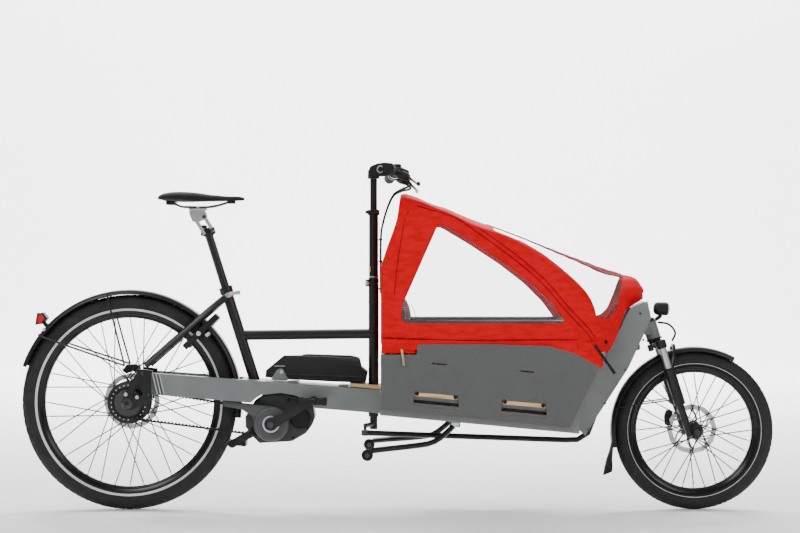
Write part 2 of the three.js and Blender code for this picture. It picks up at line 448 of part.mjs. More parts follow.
for (const [name, side] of [['right', -1], ['left', 1]]) {
  add(`grip_${name}`, cut(bar(onGrip(0.12, side), onGrip(1.02, side), 17, 16),
    bar(onGrip(0.05, side), onGrip(1.1, side), 12, 16)), MAT.rubber);
  add(`brake_lever_${name}`, bent([v3(31, side * 177, 1058), v3(50, side * 205, 1042), v3(62, side * 250, 1032),
    v3(66, side * 306, 1028)], 5.5, 8, 12), MAT.alloy);
}

// Both brake cables bow forward from the levers, then run side by side down the column.
const cable = (side) => bent([v3(27, side * 170, 1049), v3(44, side * 140, 1031), v3(15, side * 82, 1020), v3(-10, side * 42, 1005),
  v3(-28, side * 17, 970), v3(-46, side * 4, 918), v3(-54.6, side * 2.2, 862), v3(-54.6, side * 2.2, 690)], 2.6, 6, 30, 0.4);
add('bar_cables', join(cable(-1), cable(1)), MAT.rubber);

// The rod runs under the box, then climbs inside the cheeks to the steering arm of the fork.
add('tie_rod', join(bent([v3(armEnd.x, armEnd.y, 256 - 7), v3(560, armEnd.y, 226), v3(606, armEnd.y, 250),
  v3(640, armEnd.y, 345), v3(697, armEnd.y, 455), v3(758, armEnd.y, 521)], 9, 8, 26, 0.1)), MAT.blackFrame);

// ---------------------------------------------------------------- suspension fork, front fender and lamp
const onFork = (u, x, y) => v3(x, y, u);
add('fork_upper', join(
  bar(onFork(296, 0, 0), onFork(380, 0, 0), 14, 20), bar(onFork(376, 0, 0), onFork(383, 0, 0), 20, 20),
  bar(onFork(304, 0, 0), onFork(315.5, 0, 0), 21, 20),
  ...[-1, 1].flatMap((s) => [bar(onFork(284, 10, s * 58), onFork(306, 10, s * 58), 17, 16),
    bar(onFork(140, 10, s * 58), onFork(290, 10, s * 58), 12, 16)]),
  block(-12, 24, -58, 58, 297, 307),
  bar(onFork(301, 2, -58), onFork(301, STEER_ARM.x, STEER_ARM.y), 6, 10),
  bar(onFork(286, STEER_ARM.x, STEER_ARM.y), onFork(307, STEER_ARM.x, STEER_ARM.y), 9, 14)), MAT.blackFrame, fork);

function lowerLeg(side) {
  const leg = join(bar(onFork(-8, 10, side * 58), onFork(120, 10, side * 58), 11.6, 16),
    bar(onFork(96, 10, side * 58), onFork(217, 10, side * 58), 18, 16));
  const tab = block(4, 46, side > 0 ? 50 : -62, side > 0 ? 62 : -50, -13, 13);
  return [leg, tab, bar(onFork(0, FORK_RAKE, side * 46.6), onFork(0, FORK_RAKE, side * 72), 6.4, 12)];
}
const archPath = [onFork(206, 14, -58), onFork(244, 36, -48), onFork(275, 50, -26), onFork(278, 51, 0),
  onFork(275, 50, 26), onFork(244, 36, 48), onFork(206, 14, 58)];
add('fork_lowers', cut(join(...lowerLeg(-1), ...lowerLeg(1), bent(archPath, 6, 6, 12)),
  ...[-1, 1].map((s) => bar(onFork(110, 10, s * 58), onFork(290, 10, s * 58), 12.6, 16))), MAT.blackFrame, fork);
fork.updateMatrixWorld(true);

const frontStay = (side) => bent([polar(FRONT, 258, 165, side * 28), polar(FRONT, 245, 162, side * 36),
  v3(868, side * 39, 351)], 2.2, 5, 4, 0.2);
add('front_fender', join(arc(FRONT.x, FRONT.r, fenderSection(267, 31), 61, 192, 16), frontStay(-1), frontStay(1),
  arc(FRONT.x, FRONT.r, [[264, -27], [266, -27], [266, 27], [264, 27]], 190, 211, 5)), MAT.plastic);
add('brake_hose', bent([v3(886, 40, 536), v3(895, 38, 564), v3(874, 36, 590), v3(838, 30, 597)], 2.6, 6, 14, 0.5),
  MAT.rubber);
add('front_caliper', cut(join(block(858, 888, 35, 47, 262, 318), block(866, 886, 35, 52, 280, 300)),
  block(850, 920, 38.4, 43.6, 255, 311)), MAT.plastic);
add('headlight', join(bar(v3(822, 0, 642), v3(869, 0, 640), 20, 20), plate([[800, 652], [830, 656], [830, 632], [804, 630]], -9, 9)),
  MAT.plastic);

// ---------------------------------------------------------------- two-legged stand
const standLeg = (side) => [bent([v3(STAND.x, side * 124, STAND.z), v3(159, side * 132, 258), v3(101, side * 146, 222),
  v3(-77, side * 184, 203), v3(-90, side * 190, 190)], 9, 8, 14, 0.35),
bar(v3(-104, side * 190, 184), v3(-80, side * 190, 196), 13, 12)];
add('stand', join(bar(v3(STAND.x, -130, STAND.z), v3(STAND.x, 130, STAND.z), 9.8, 16), ...standLeg(-1), ...standLeg(1)),
  MAT.blackFrame);

// ---------------------------------------------------------------- seatpost with parallel links, saddle
const SEAT_TOP = onSeatTube(492);
const pinAt = (p, radius, half) => bar(v3(p.x, -half, p.z), v3(p.x, half, p.z), radius, 12);
const above = (p) => ({ x: p.x + LINK.x, z: p.z + LINK.z });
add('seatpost', cut(join(bar(onSeatTube(170), SEAT_TOP, 13.5, 18),
  plate([[-580, 884], [-584, 902], [-600, 902], [-626, 893], [-628, 876], [-606, 868], [-592, 872]], -9, 9)),
pinAt(LOWER_FRONT, 3.6, 12), pinAt(LOWER_REAR, 3.6, 12)), MAT.blackFrame);
function link(foot, name) {
  const top = above(foot);
  const along = v3(LINK.x, 0, LINK.z).normalize(), across = v3(along.z, 0, -along.x);
  const strap = (side) => {
    const corner = (p, a, b) => [p.x + along.x * a + across.x * b, p.z + along.z * a + across.z * b];
    const outline = [corner(foot, -7, -5), corner(foot, -7, 5), corner(top, 7, 5), corner(top, 7, -5)];
    return plate(outline, side > 0 ? 13 : -18, side > 0 ? 18 : -13);
  };
  add(name, join(strap(-1), strap(1), pinAt(foot, 3, 16), pinAt(top, 3, 16)), MAT.alloy);
}
link(LOWER_FRONT, 'post_link_front');
link(LOWER_REAR, 'post_link_rear');
add('saddle_head', cut(plate([[-606, 930], [-608, 944], [-618, 961], [-664, 961], [-664, 944], [-654, 920], [-640, 916]],
  -11, 11), pinAt(above(LOWER_FRONT), 3.6, 14), pinAt(above(LOWER_REAR), 3.6, 14)), MAT.alloy);

const SADDLE = [[-760, 58, 1000, 984], [-740, 76, 1009, 979], [-690, 80, 1014, 975], [-640, 62, 1011, 976],
  [-590, 40, 1004, 978], [-540, 27, 1000, 980], [-500, 20, 998, 982], [-488, 12, 994, 985]];
const saddleRings = SADDLE.map(([x, w, top, low]) => [[-w, low], [-w, low + (top - low) * 0.5], [-w * 0.8, top - 3],
  [-w * 0.35, top], [w * 0.35, top], [w * 0.8, top - 3], [w, low + (top - low) * 0.5], [w, low]]
  .map(([y, z]) => v3(x, y, z)));
const saddleOutline = saddleRings[2].map((p) => new THREE.Vector2(p.y, p.z));
const rail = (side) => bent([v3(-722, side * 24, 984), v3(-692, side * 23, 966), v3(-610, side * 22, 965.5),
  v3(-530, side * 9, 986)], 3.4, 6, 12, 0.35);
add('saddle', join(loft(saddleRings, saddleOutline), rail(-1), rail(1)), MAT.leather);

export default bike;
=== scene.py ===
"""A front-loading electric cargo bicycle with a red rain canopy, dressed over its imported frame."""
import math

import bmesh
import bpy
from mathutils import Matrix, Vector, noise


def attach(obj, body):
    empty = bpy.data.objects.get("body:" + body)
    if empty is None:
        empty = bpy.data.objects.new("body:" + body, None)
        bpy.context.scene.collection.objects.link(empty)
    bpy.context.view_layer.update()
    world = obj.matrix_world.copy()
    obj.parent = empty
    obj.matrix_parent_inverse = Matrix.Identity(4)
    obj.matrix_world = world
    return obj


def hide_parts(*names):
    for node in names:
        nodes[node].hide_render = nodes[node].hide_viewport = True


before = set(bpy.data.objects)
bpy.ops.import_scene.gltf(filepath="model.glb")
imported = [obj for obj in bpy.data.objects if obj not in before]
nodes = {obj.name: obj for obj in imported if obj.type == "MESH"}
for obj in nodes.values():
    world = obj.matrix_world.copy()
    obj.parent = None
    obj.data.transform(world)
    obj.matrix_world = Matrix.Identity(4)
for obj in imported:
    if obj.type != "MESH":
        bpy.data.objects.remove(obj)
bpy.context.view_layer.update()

# ---------------------------------------------------------------- camera
camera_data = bpy.data.cameras.new("camera")
camera_data.lens = 91.4
camera_data.sensor_width = 36
camera = bpy.data.objects.new("camera", camera_data)
bpy.context.scene.collection.objects.link(camera)
camera.location = (0.0095, -6.5, 0.776)
camera.rotation_euler = (math.radians(90), 0, 0)
bpy.context.scene.camera = camera

# ---------------------------------------------------------------- dimensions, in metres
REAR = dict(x=-0.855, z=0.343, r=0.343, half=0.031, rim=0.288, inner=0.269)
FRONT = dict(x=0.949, z=0.253, r=0.253, half=0.0253, rim=0.203, inner=0.1845)
CRANK = (-0.399, 0.277)
COLUMN_X = -0.075
RAKE = math.radians(17.5)
STEER_FOOT = Vector((0.917527, 0, 0.243077))
LEG_FORWARD, LEG_SIDE = 0.01, 0.058
STEM_PIVOT_X, STEM_PIVOT_Z = -0.053, 1.086
STAND_FOOT_X, STAND_FOOT_Z = -0.092, 0.19
BOX_SLOTS = ((0.051, 0.191), (0.322, 0.462))
CRANK_ARM, CRANK_TILT = 0.157, math.radians(29.5)


# ---------------------------------------------------------------- materials
class Graph:
    """A material's node tree, with short calls for the nodes that the finishes here share."""

    def __init__(self, name):
        self.material = bpy.data.materials.new(name)
        self.material.use_nodes = True
        self.tree = self.material.node_tree
        self.shader = self.tree.nodes["Principled BSDF"]
        self.place = self.node("ShaderNodeTexCoord").outputs["Object"]

    def node(self, kind, **settings):
        made = self.tree.nodes.new(kind)
        for key, value in settings.items():
            setattr(made, key, value)
        return made

    def link(self, source, target):
        self.tree.links.new(source, target)

    def noise(self, scale, detail=4, stretch=None):
        made = self.node("ShaderNodeTexNoise")
        made.inputs["Scale"].default_value = scale
        made.inputs["Detail"].default_value = detail
        source = self.place
        if stretch:
            mapping = self.node("ShaderNodeMapping")
            mapping.inputs["Scale"].default_value = stretch
            self.link(self.place, mapping.inputs["Vector"])
            source = mapping.outputs["Vector"]
        self.link(source, made.inputs["Vector"])
        return made.outputs["Fac"]

    def bands(self, direction, scale):
        made = self.node("ShaderNodeTexWave", wave_type="BANDS", bands_direction=direction)
        made.inputs["Scale"].default_value = scale
        self.link(self.place, made.inputs["Vector"])
        return made.outputs["Fac"]

    def ramp(self, fac, stops, sharp=False):
        made = self.node("ShaderNodeValToRGB")
        made.color_ramp.interpolation = "CONSTANT" if sharp else "LINEAR"
        while len(made.color_ramp.elements) < len(stops):
            made.color_ramp.elements.new(0.5)
        for element, (position, color) in zip(made.color_ramp.elements, stops):
            element.position = position
            element.color = (*color, 1)
        self.link(fac, made.inputs["Fac"])
        return made.outputs["Color"]

    def mix(self, fac, a, b, blend="MIX"):
        made = self.node("ShaderNodeMix", data_type="RGBA", blend_type=blend)
        for socket, value in ((made.inputs[0], fac), (made.inputs[6], a), (made.inputs[7], b)):
            if isinstance(value, (int, float)):
                socket.default_value = value
            elif isinstance(value, tuple):
                socket.default_value = (*value, 1)
            else:
                self.link(value, socket)
        return made.outputs[2]

    def math(self, operation, a, b=0.0):
        made = self.node("ShaderNodeMath", operation=operation)
        for socket, value in ((made.inputs[0], a), (made.inputs[1], b)):
            if isinstance(value, (int, float)):
                socket.default_value = value
            else:
                self.link(value, socket)
        return made.outputs[0]

    def bump(self, height, strength, distance=0.0005):
        made = self.node("ShaderNodeBump")
        made.inputs["Strength"].default_value = strength
        made.inputs["Distance"].default_value = distance
        self.link(height, made.inputs["Height"])
        self.link(made.outputs["Normal"], self.shader.inputs["Normal"])

    def rough(self, fac, low, high):
        made = self.node("ShaderNodeMapRange")
        made.inputs["To Min"].default_value = low
        made.inputs["To Max"].default_value = high
        self.link(fac, made.inputs["Value"])
        self.link(made.outputs["Result"], self.shader.inputs["Roughness"])

    def finish(self, color, metal=0.0, coat=0.0, sheen=0.0, gloss=0.3):
        if isinstance(color, tuple):
            self.shader.inputs["Base Color"].default_value = (*color, 1)
        else:
            self.link(color, self.shader.inputs["Base Color"])
        self.shader.inputs["Specular IOR Level"].default_value = gloss
        self.shader.inputs["Metallic"].default_value = metal
        self.shader.inputs["Coat Weight"].default_value = coat
        self.shader.inputs["Coat Roughness"].default_value = 0.25
        self.shader.inputs["Sheen Weight"].default_value = sheen
        return self.material


def tint(color, factor):
    return tuple(min(1.0, c * factor) for c in color)


def coated(name, color, rough=(0.3, 0.45), metal=0.0, coat=0.0, vary=0.12, grain=900, strength=0.12):
    """Paint, moulded plastic or metal: fine grain, faint mottling and uneven gloss."""
    g = Graph(name)
    wide = g.noise(14, 5)
    g.rough(wide, *rough)
    g.bump(g.noise(grain, 3), strength, 0.0003)
    return g.finish(g.ramp(wide, [(0.3, tint(color, 1 - vary)), (0.7, tint(color, 1 + vary))]), metal, coat)


def cloth(name, dark, light, weave=520, creases=26):
    """Coated woven fabric: crossed threads and long soft creases, with little gloss; the colour is darker in
    the crease hollows, painted shade.
    """
    g = Graph(name)
    threads = g.math("MULTIPLY", g.bands("X", weave), g.bands("Z", weave))
    crease = g.noise(creases, 6, (1.0, 1.0, 2.6))
    height = g.math("ADD", g.math("MULTIPLY", threads, 0.1), g.math("MULTIPLY", crease, 0.8))
    g.bump(height, 0.5, 0.004)
    g.rough(crease, 0.5, 0.75)
    # The crease noise also sets the colour: darker where the bump is low, painted shade in the folds.
    color = g.ramp(crease, [(0.32, dark), (0.62, light)])
    return g.finish(g.mix(g.math("MULTIPLY", threads, 0.12), color, tint(dark, 0.7)), gloss=0.05)


def tartan(name):
    """A red and black check with thin white lines."""
    g = Graph(name)
    black, red, white = (0.012, 0.012, 0.014), (0.42, 0.02, 0.03), (0.75, 0.72, 0.68)
    stops = [(0.0, black), (0.34, red), (0.72, black), (0.9, white), (0.96, black)]
    check = g.mix(0.5, g.ramp(g.bands("Y", 9), stops, True), g.ramp(g.bands("Z", 9), stops, True))
    g.bump(g.math("MULTIPLY", g.bands("Y", 420), g.bands("Z", 420)), 0.5, 0.0006)
    g.rough(g.noise(30), 0.75, 0.95)
    return g.finish(check, sheen=0.4)


def panel_board(name):
    """Grey film-faced plywood: the wide faces are coated, and the cut edges show their plies."""
    g = Graph(name)
    normal = g.node("ShaderNodeSeparateXYZ")
    g.link(g.node("ShaderNodeNewGeometry").outputs["True Normal"], normal.inputs[0])
    face = g.math("GREATER_THAN", g.math("ABSOLUTE", normal.outputs["Y"]), 0.8)
    film_noise = g.noise(320, 3)
    film = g.ramp(film_noise, [(0.3, (0.085, 0.087, 0.088)), (0.7, (0.112, 0.114, 0.116))])
    plies = g.ramp(g.bands("Y", 105), [(0.35, (0.42, 0.27, 0.14)), (0.6, (0.74, 0.56, 0.35))])
    edge = g.mix(g.math("MULTIPLY", g.noise(60, 4, (1, 1, 8)), 0.5), plies, (0.5, 0.35, 0.2), "MULTIPLY")
    g.bump(film_noise, 0.25, 0.0005)
    g.rough(film_noise, 0.5, 0.7)
    return g.finish(g.mix(face, edge, film))


def oiled_ply(name):
    g = Graph(name)
    figure = g.noise(34, 6, (0.3, 3.0, 3.0))
    g.bump(figure, 0.3, 0.0008)
    g.rough(figure, 0.45, 0.65)
    return g.finish(g.ramp(figure, [(0.3, (0.5, 0.31, 0.15)), (0.7, (0.76, 0.55, 0.32))]))


def clear_film(name):
    """Flexible window film: nearly clear, with a soft ripple in its gloss."""
    g = Graph(name)
    tone, cover = (0.95, 0.965, 0.97), 0.03
    ripple = g.noise(9, 3, (1, 1, 2.2))
    g.bump(ripple, 0.5, 0.01)
    g.rough(ripple, 0.04, 0.12)
    g.finish(g.ramp(ripple, [(0.3, tone), (0.8, tint(tone, 0.93))]))
    alpha = g.node("ShaderNodeMapRange")
    alpha.inputs["To Min"].default_value = cover * 0.6
    alpha.inputs["To Max"].default_value = cover * 1.6
    g.link(ripple, alpha.inputs["Value"])
    g.link(alpha.outputs["Result"], g.shader.inputs["Alpha"])
    return g.material


def brushed(name, color, grain=(40, 900, 40), rough=(0.22, 0.4)):
    g = Graph(name)
    lines = g.noise(8, 3, grain)
    g.bump(lines, 0.15, 0.0003)
    g.rough(lines, *rough)
    return g.finish(g.ramp(lines, [(0.3, tint(color, 0.85)), (0.7, color)]), 1.0)


def moulded_rubber(name, color, strength=0.35):
    g = Graph(name)
    fine = g.noise(700, 4)
    g.bump(fine, strength, 0.0006)
    g.rough(g.noise(22), 0.62, 0.88)
    return g.finish(g.ramp(g.noise(24, 5), [(0.3, tint(color, 0.8)), (0.7, tint(color, 1.25))]))


BLACK = coated("black_powder_coat", (0.006, 0.006, 0.0065), (0.3, 0.42), 0.0, 0.25)
GREY = coated("grey_frame_paint", (0.18, 0.198, 0.196), (0.34, 0.46), 0.25, 0.2, 0.07)
GREY_DARK = coated("dark_frame_paint", (0.06, 0.065, 0.066), (0.35, 0.5), 0.2, 0.1)
CAST = coated("motor_casting", (0.045, 0.047, 0.048), (0.42, 0.6), 0.1, 0, 0.12, 500, 0.35)
CAST_LIGHT = coated("motor_cover", (0.085, 0.087, 0.089), (0.38, 0.55), 0.1, 0, 0.08, 600, 0.25)
PLASTIC = coated("black_plastic", (0.0075, 0.0075, 0.008), (0.42, 0.62), 0.0, 0, 0.15, 600, 0.3)
GLOSS = coated("gloss_black", (0.008, 0.008, 0.009), (0.08, 0.16), 0.0, 0.6, 0.1, 900, 0.03)
SATIN = coated("satin_black_plastic", (0.012, 0.012, 0.0125), (0.3, 0.45))
TYRE = moulded_rubber("tyre_rubber", (0.017, 0.017, 0.0175))
RUBBER = moulded_rubber("soft_rubber", (0.009, 0.009, 0.009))
STRIPE = coated("reflective_stripe", (0.62, 0.63, 0.63), (0.3, 0.45), 0.1)
RIM = coated("rim_anodised", (0.006, 0.006, 0.0065), (0.16, 0.26), 0.4, 0.4)
STEEL = brushed("bright_steel", (0.72, 0.73, 0.75))
DARK_STEEL = brushed("dark_steel", (0.09, 0.09, 0.095))
SPOKE = coated("spoke_wire", (0.03, 0.03, 0.032), (0.4, 0.55))
ALLOY = brushed("bead_blasted_alloy", (0.62, 0.63, 0.65), (30, 30, 30), (0.3, 0.45))
LEATHER = moulded_rubber("saddle_cover", (0.008, 0.008, 0.0085), 0.6)
RED = cloth("red_canopy_cloth", (0.62, 0.0, 0.007), (0.73, 0.0005, 0.01))
# Dark red for the seams, and for the ridge band, where it is painted shade.
RED_DARK = cloth("maroon_seams_and_ridge_shade", (0.17, 0.006, 0.012), (0.3, 0.01, 0.02))
# Black webbing and piping; also the plates in the box slots, where it is painted shade.
WEBBING_AND_SLOT_SHADE = cloth("black_webbing_and_slot_shade", (0.01, 0.01, 0.012), (0.03, 0.03, 0.032), 900, 60)
TARTAN = tartan("tartan_seat_cloth")
BOARD = panel_board("film_faced_board")
PLY = oiled_ply("oiled_plywood")
FILM = clear_film("window_film")
RED_LENS = coated("red_lens", (0.5, 0.006, 0.008), (0.08, 0.14), 0, 0.8, 0.1, 200, 0.2)
CLEAR_LENS = coated("clear_lens", (0.75, 0.77, 0.78), (0.05, 0.1), 0, 0.8, 0.05, 200, 0.3)
AMBER = coated("amber_reflector", (0.7, 0.2, 0.01), (0.1, 0.2), 0, 0.6, 0.1, 240, 0.5)
CORD = cloth("tan_cord", (0.4, 0.27, 0.14), (0.62, 0.45, 0.27), 700, 40)
ACCENT = coated("yellow_accent", (0.65, 0.52, 0.03), (0.35, 0.5))
PALE = coated("pale_stripe", (0.42, 0.43, 0.43), (0.35, 0.5))


# ---------------------------------------------------------------- making pieces
def piece(name, bm, material, body, replaces=(), sharp=35, bevel=0.0):
    """A finished piece from mesh code: smooth shaded with sharp edges kept, riding on its body."""
    bmesh.ops.remove_doubles(bm, verts=bm.verts, dist=1e-6)
    bmesh.ops.recalc_face_normals(bm, faces=bm.faces)
    mesh = bpy.data.meshes.new(name)
    bm.to_mesh(mesh)
    bm.free()
    made = bpy.data.objects.new(name, mesh)
    bpy.context.scene.collection.objects.link(made)
    mesh.materials.append(material)
    mesh.polygons.foreach_set("use_smooth", [True] * len(mesh.polygons))
    mesh.set_sharp_from_angle(angle=math.radians(sharp))
    if bevel:
        rounding = made.modifiers.new("rounded_edges", "BEVEL")
        rounding.width = bevel
        rounding.segments = 3
        rounding.limit_method = "ANGLE"
        rounding.angle_limit = math.radians(34)
        made.modifiers.new("even_shading", "WEIGHTED_NORMAL")
    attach(made, body)
    if replaces:
        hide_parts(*replaces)
    return made


def rings(bm, loops, closed_round=True, ends=True, endless=False):
    """Bridges equal rings of points into a skin."""
    rows = [[bm.verts.new(p) for p in loop] for loop in loops]
    count = len(rows[0])
    for i in range(len(rows) if endless else len(rows) - 1):
        a, b = rows[i], rows[(i + 1) % len(rows)]
        for k in range(count if closed_round else count - 1):
            bm.faces.new((a[k], a[(k + 1) % count], b[(k + 1) % count], b[k]))
    if ends and not endless:
        for row in (rows[0], rows[-1]):
            bm.faces.new(row)


def lathe(bm, x, z, profile, steps=96):
    """A ring turned about the lateral axis through (x, z), from a closed profile of (radius, y)."""
    loops = []
    for i in range(steps):
        a = 2 * math.pi * i / steps
        loops.append([(x + r * math.cos(a), y, z + r * math.sin(a)) for r, y in profile])
    rings(bm, loops, endless=True)


def spun(bm, start, end, profile, sides=28, hollow=False):
    """A turned solid through (fraction along, radius) points; a hollow one is a ring with a bore."""
    start, end = Vector(start), Vector(end)
    axis = end - start
    turn = axis.to_track_quat("Z", "Y")
    loops = []
    for t, radius in profile:
        centre = start + axis * t
        loops.append([centre + turn @ Vector((radius * math.cos(a), radius * math.sin(a), 0))
                      for a in (2 * math.pi * k / sides for k in range(sides))])
    rings(bm, loops, ends=not hollow, endless=hollow)


def spun_pair(bm, start, end, profile, sides=28, hollow=False):
    """The same turned solid on the right side and on the left."""
    for side in (-1, 1):
        spun(bm, (start[0], side * start[1], start[2]), (end[0], side * end[1], end[2]), profile, sides,
             hollow)


def bolt_pair(bm, x, z, near, far, radius):
    """The same screw head on the right side and on the left."""
    for side in (-1, 1):
        bolt(bm, (x, side * near, z), (x, side * far, z), radius)


def slab(bm, outline, low, high):
    """A plate from an outline of (x, z) points, between two lateral faces."""
    rings(bm, [[(x, y, z) for x, z in outline] for y in (low, high)])


def brick(bm, low, high):
    slab(bm, [(low[0], low[2]), (high[0], low[2]), (high[0], high[2]), (low[0], high[2])], low[1], high[1])


def slab_pair(bm, outline, near, far):
    """The same plate on the right side and on the left, between two distances from the middle."""
    for side in (-1, 1):
        slab(bm, outline, *sorted((side * near, side * far)))


def metres(points):
    """Points written in millimetres, in metres."""
    return [tuple(v / 1000 for v in p) for p in points]


def smooth_path(points, per_span=8):
    """Points along a smooth curve through the given ones."""
    p = [Vector(q) for q in points]
    p = [2 * p[0] - p[1], *p, 2 * p[-1] - p[-2]]
    path = []
    for i in range(1, len(p) - 2):
        for k in range(per_span):
            t = k / per_span
            a, b, c, d = p[i - 1], p[i], p[i + 1], p[i + 2]
            path.append(0.5 * (2 * b + (c - a) * t + (2 * a - 5 * b + 4 * c - d) * t * t
                               + (3 * b - a - 3 * c + d) * t ** 3))
    return [*path, p[-2]]


def direction_at(path, i):
    """The way a path runs at its i-th point."""
    return (path[min(i + 1, len(path) - 1)] - path[max(i - 1, 0)]).normalized()


def wires(name, paths, radius, material, body, replaces=(), smooth=8, sides=4):
    """Round wires, cords or piping along the paths, as one piece."""
    curve = bpy.data.curves.new(name, "CURVE")
    curve.dimensions = "3D"
    curve.bevel_depth = radius
    curve.bevel_resolution = sides
    curve.use_fill_caps = True
    for path in paths:
        points = smooth_path(path, smooth) if smooth else [Vector(q) for q in path]
        spline = curve.splines.new("POLY")
        spline.points.add(len(points) - 1)
        for target, q in zip(spline.points, points):
            target.co = (*q, 1)
    curve.materials.append(material)
    made = bpy.data.objects.new(name, curve)
    bpy.context.scene.collection.objects.link(made)
    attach(made, body)
    if replaces:
        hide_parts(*replaces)
    return made


def dress(name, material, bevel=0.0012):
    """A CAD node kept as it is: its material, and rounded edges from modifiers."""
    made = nodes[name]
    made.data.materials.clear()
    made.data.materials.append(material)
    made.data.polygons.foreach_set("use_smooth", [True] * len(made.data.polygons))
    weld = made.modifiers.new("weld", "WELD")
    weld.merge_threshold = 0.00002
    rounding = made.modifiers.new("rounded_edges", "BEVEL")
    rounding.width = bevel
    rounding.segments = 2
    rounding.limit_method = "ANGLE"
    rounding.angle_limit = math.radians(32)
    rounding.use_clamp_overlap = True
    made.modifiers.new("even_shading", "WEIGHTED_NORMAL")


def on_steer(u, x=0.0, y=0.0):
    """A point beside the steering axis: u up it, x forward and square to it."""
    c, s = math.cos(RAKE), math.sin(RAKE)
    return STEER_FOOT + Vector((x * c - u * s, y, x * s + u * c))


def polar(w, r, degrees, y=0.0):
    a = math.radians(degrees)
    return Vector((w["x"] + r * math.cos(a), y, w["z"] + r * math.sin(a)))


def bolt(bm, start, end, radius):
    """A domed socket screw head, with a hollow in its face."""
    spun(bm, start, end, [(0, radius), (0.6, radius), (0.9, radius * 0.8), (1, radius * 0.55),
                          (0.7, radius * 0.45)], 12)


# ---------------------------------------------------------------- wheels
def wheel(end, w, spokes, flange_r, flange_y, lacing, stripe_r, knobs):
    body = f"{end}_wheel"
    half, r = w["half"], w["r"]
    centre = r - half
    limit = math.acos((w["rim"] + 0.0004 - centre) / half)
    outer = [(centre + half * math.cos(a), half * math.sin(a))
             for a in (limit * (2 * i / 28 - 1) for i in range(29))]
    inner = [(max(w["rim"] + 0.002, centre + (q - centre) * 0.86), y * 0.86) for q, y in reversed(outer)]
    bm = bmesh.new()
    lathe(bm, w["x"], w["z"], [(q - 0.0016 if abs(y) < half * 0.75 else q, y) for q, y in outer] + inner,
          144)
    for row, (angle, width, length) in enumerate(knobs):
        count = int(2 * math.pi * r / (length * 1.45))
        for side in (1, -1) if angle else (1,):
            lean = math.radians(angle) * side
            for i in range(count):
                turn = 2 * math.pi * (i + 0.5 * (row % 2) + 0.25 * (side > 0)) / count
                out = Vector((math.cos(turn) * math.cos(lean), math.sin(lean),
                              math.sin(turn) * math.cos(lean)))
                along = Vector((-math.sin(turn), 0, math.cos(turn)))
                across = out.cross(along)
                foot = Vector((w["x"] + centre * math.cos(turn), 0, w["z"] + centre * math.sin(turn)))
                foot += out * (half - 0.0021)
                skew = along * (0.0022 * side if angle else 0.0016 * (-1) ** i)
                loops = []
                for rise, grow in ((0.0, 1.0), (0.0019, 0.86)):
                    loops.append([foot + out * rise + along * (a * length / 2 * grow)
                                  + across * (b * width / 2 * grow) + skew * b
                                  for a, b in ((1, 1), (-1, 1), (-1, -1), (1, -1))])
                rings(bm, loops)
    piece(f"{end}_tyre_treaded", bm, TYRE, body, [f"{end}_tyre"], 40)

    bm = bmesh.new()
    for side in (1, -1):
        band = []
        for q in (stripe_r - 0.0035, stripe_r + 0.0035):
            y = math.sqrt(max(half * half - (q - centre) ** 2, 0)) + 0.0004
            band.append((q, side * y))
        lathe(bm, w["x"], w["z"], [band[0], band[1], (band[1][0], band[1][1] - side * 0.002),
                                   (band[0][0], band[0][1] - side * 0.002)], 144)
    piece(f"{end}_tyre_stripe", bm, STRIPE, body, ())

    bed, edge = w["inner"], w["rim"]
    side_wall = [(bed, -0.009), (bed + 0.004, -0.0135), (bed + 0.006, -0.0138), (bed + 0.0068, -0.0131),
                 (bed + 0.0078, -0.0142), (edge - 0.006, -0.0162), (edge - 0.0052, -0.0155),
                 (edge - 0.0044, -0.0164), (edge, -0.0168), (edge, -0.0144), (edge - 0.006, -0.012)]
    bm = bmesh.new()
    lathe(bm, w["x"], w["z"], side_wall + [(q, -y) for q, y in reversed(side_wall)], 144)
    piece(f"{end}_rim_grooved", bm, RIM, body, [f"{end}_rim"], 50)

    paths, nipples = [], bmesh.new()
    for k in range(spokes):
        side, lean = (1 if k % 2 else -1), (1 if (k // 2) % 2 else -1)
        at_rim = 2 * math.pi * k / spokes
        at_hub = at_rim + lean * lacing
        head = polar(w, flange_r, math.degrees(at_hub), side * flange_y)
        tip = polar(w, bed, math.degrees(at_rim), side * 0.003)
        paths.append([head, tip])
        spun(nipples, tip, tip + (head - tip).normalized() * 0.012,
             [(0, 0.0021), (0.8, 0.0021), (1, 0.0014)], 8)
        spun(nipples, head + Vector((0, side * 0.0016, 0)), head - Vector((0, side * 0.0016, 0)),
             [(0, 0.0016), (0.3, 0.0022), (1, 0.0022)], 8)
    wires(f"{end}_laced_spokes", paths, 0.0018, SPOKE, body, [f"{end}_spokes"], 0, 2)
    piece(f"{end}_nipples", nipples, STEEL, body, ())


wheel("rear", REAR, 36, 0.064, 0.03, 0.62, 0.2955,
      [(0, 0.007, 0.017), (16, 0.008, 0.019), (33, 0.009, 0.021), (50, 0.008, 0.017)])
wheel("front", FRONT, 32, 0.024, 0.03, 1.0, 0.2105,
      [(0, 0.007, 0.012), (18, 0.0075, 0.013), (36, 0.008, 0.014), (54, 0.009, 0.011)])


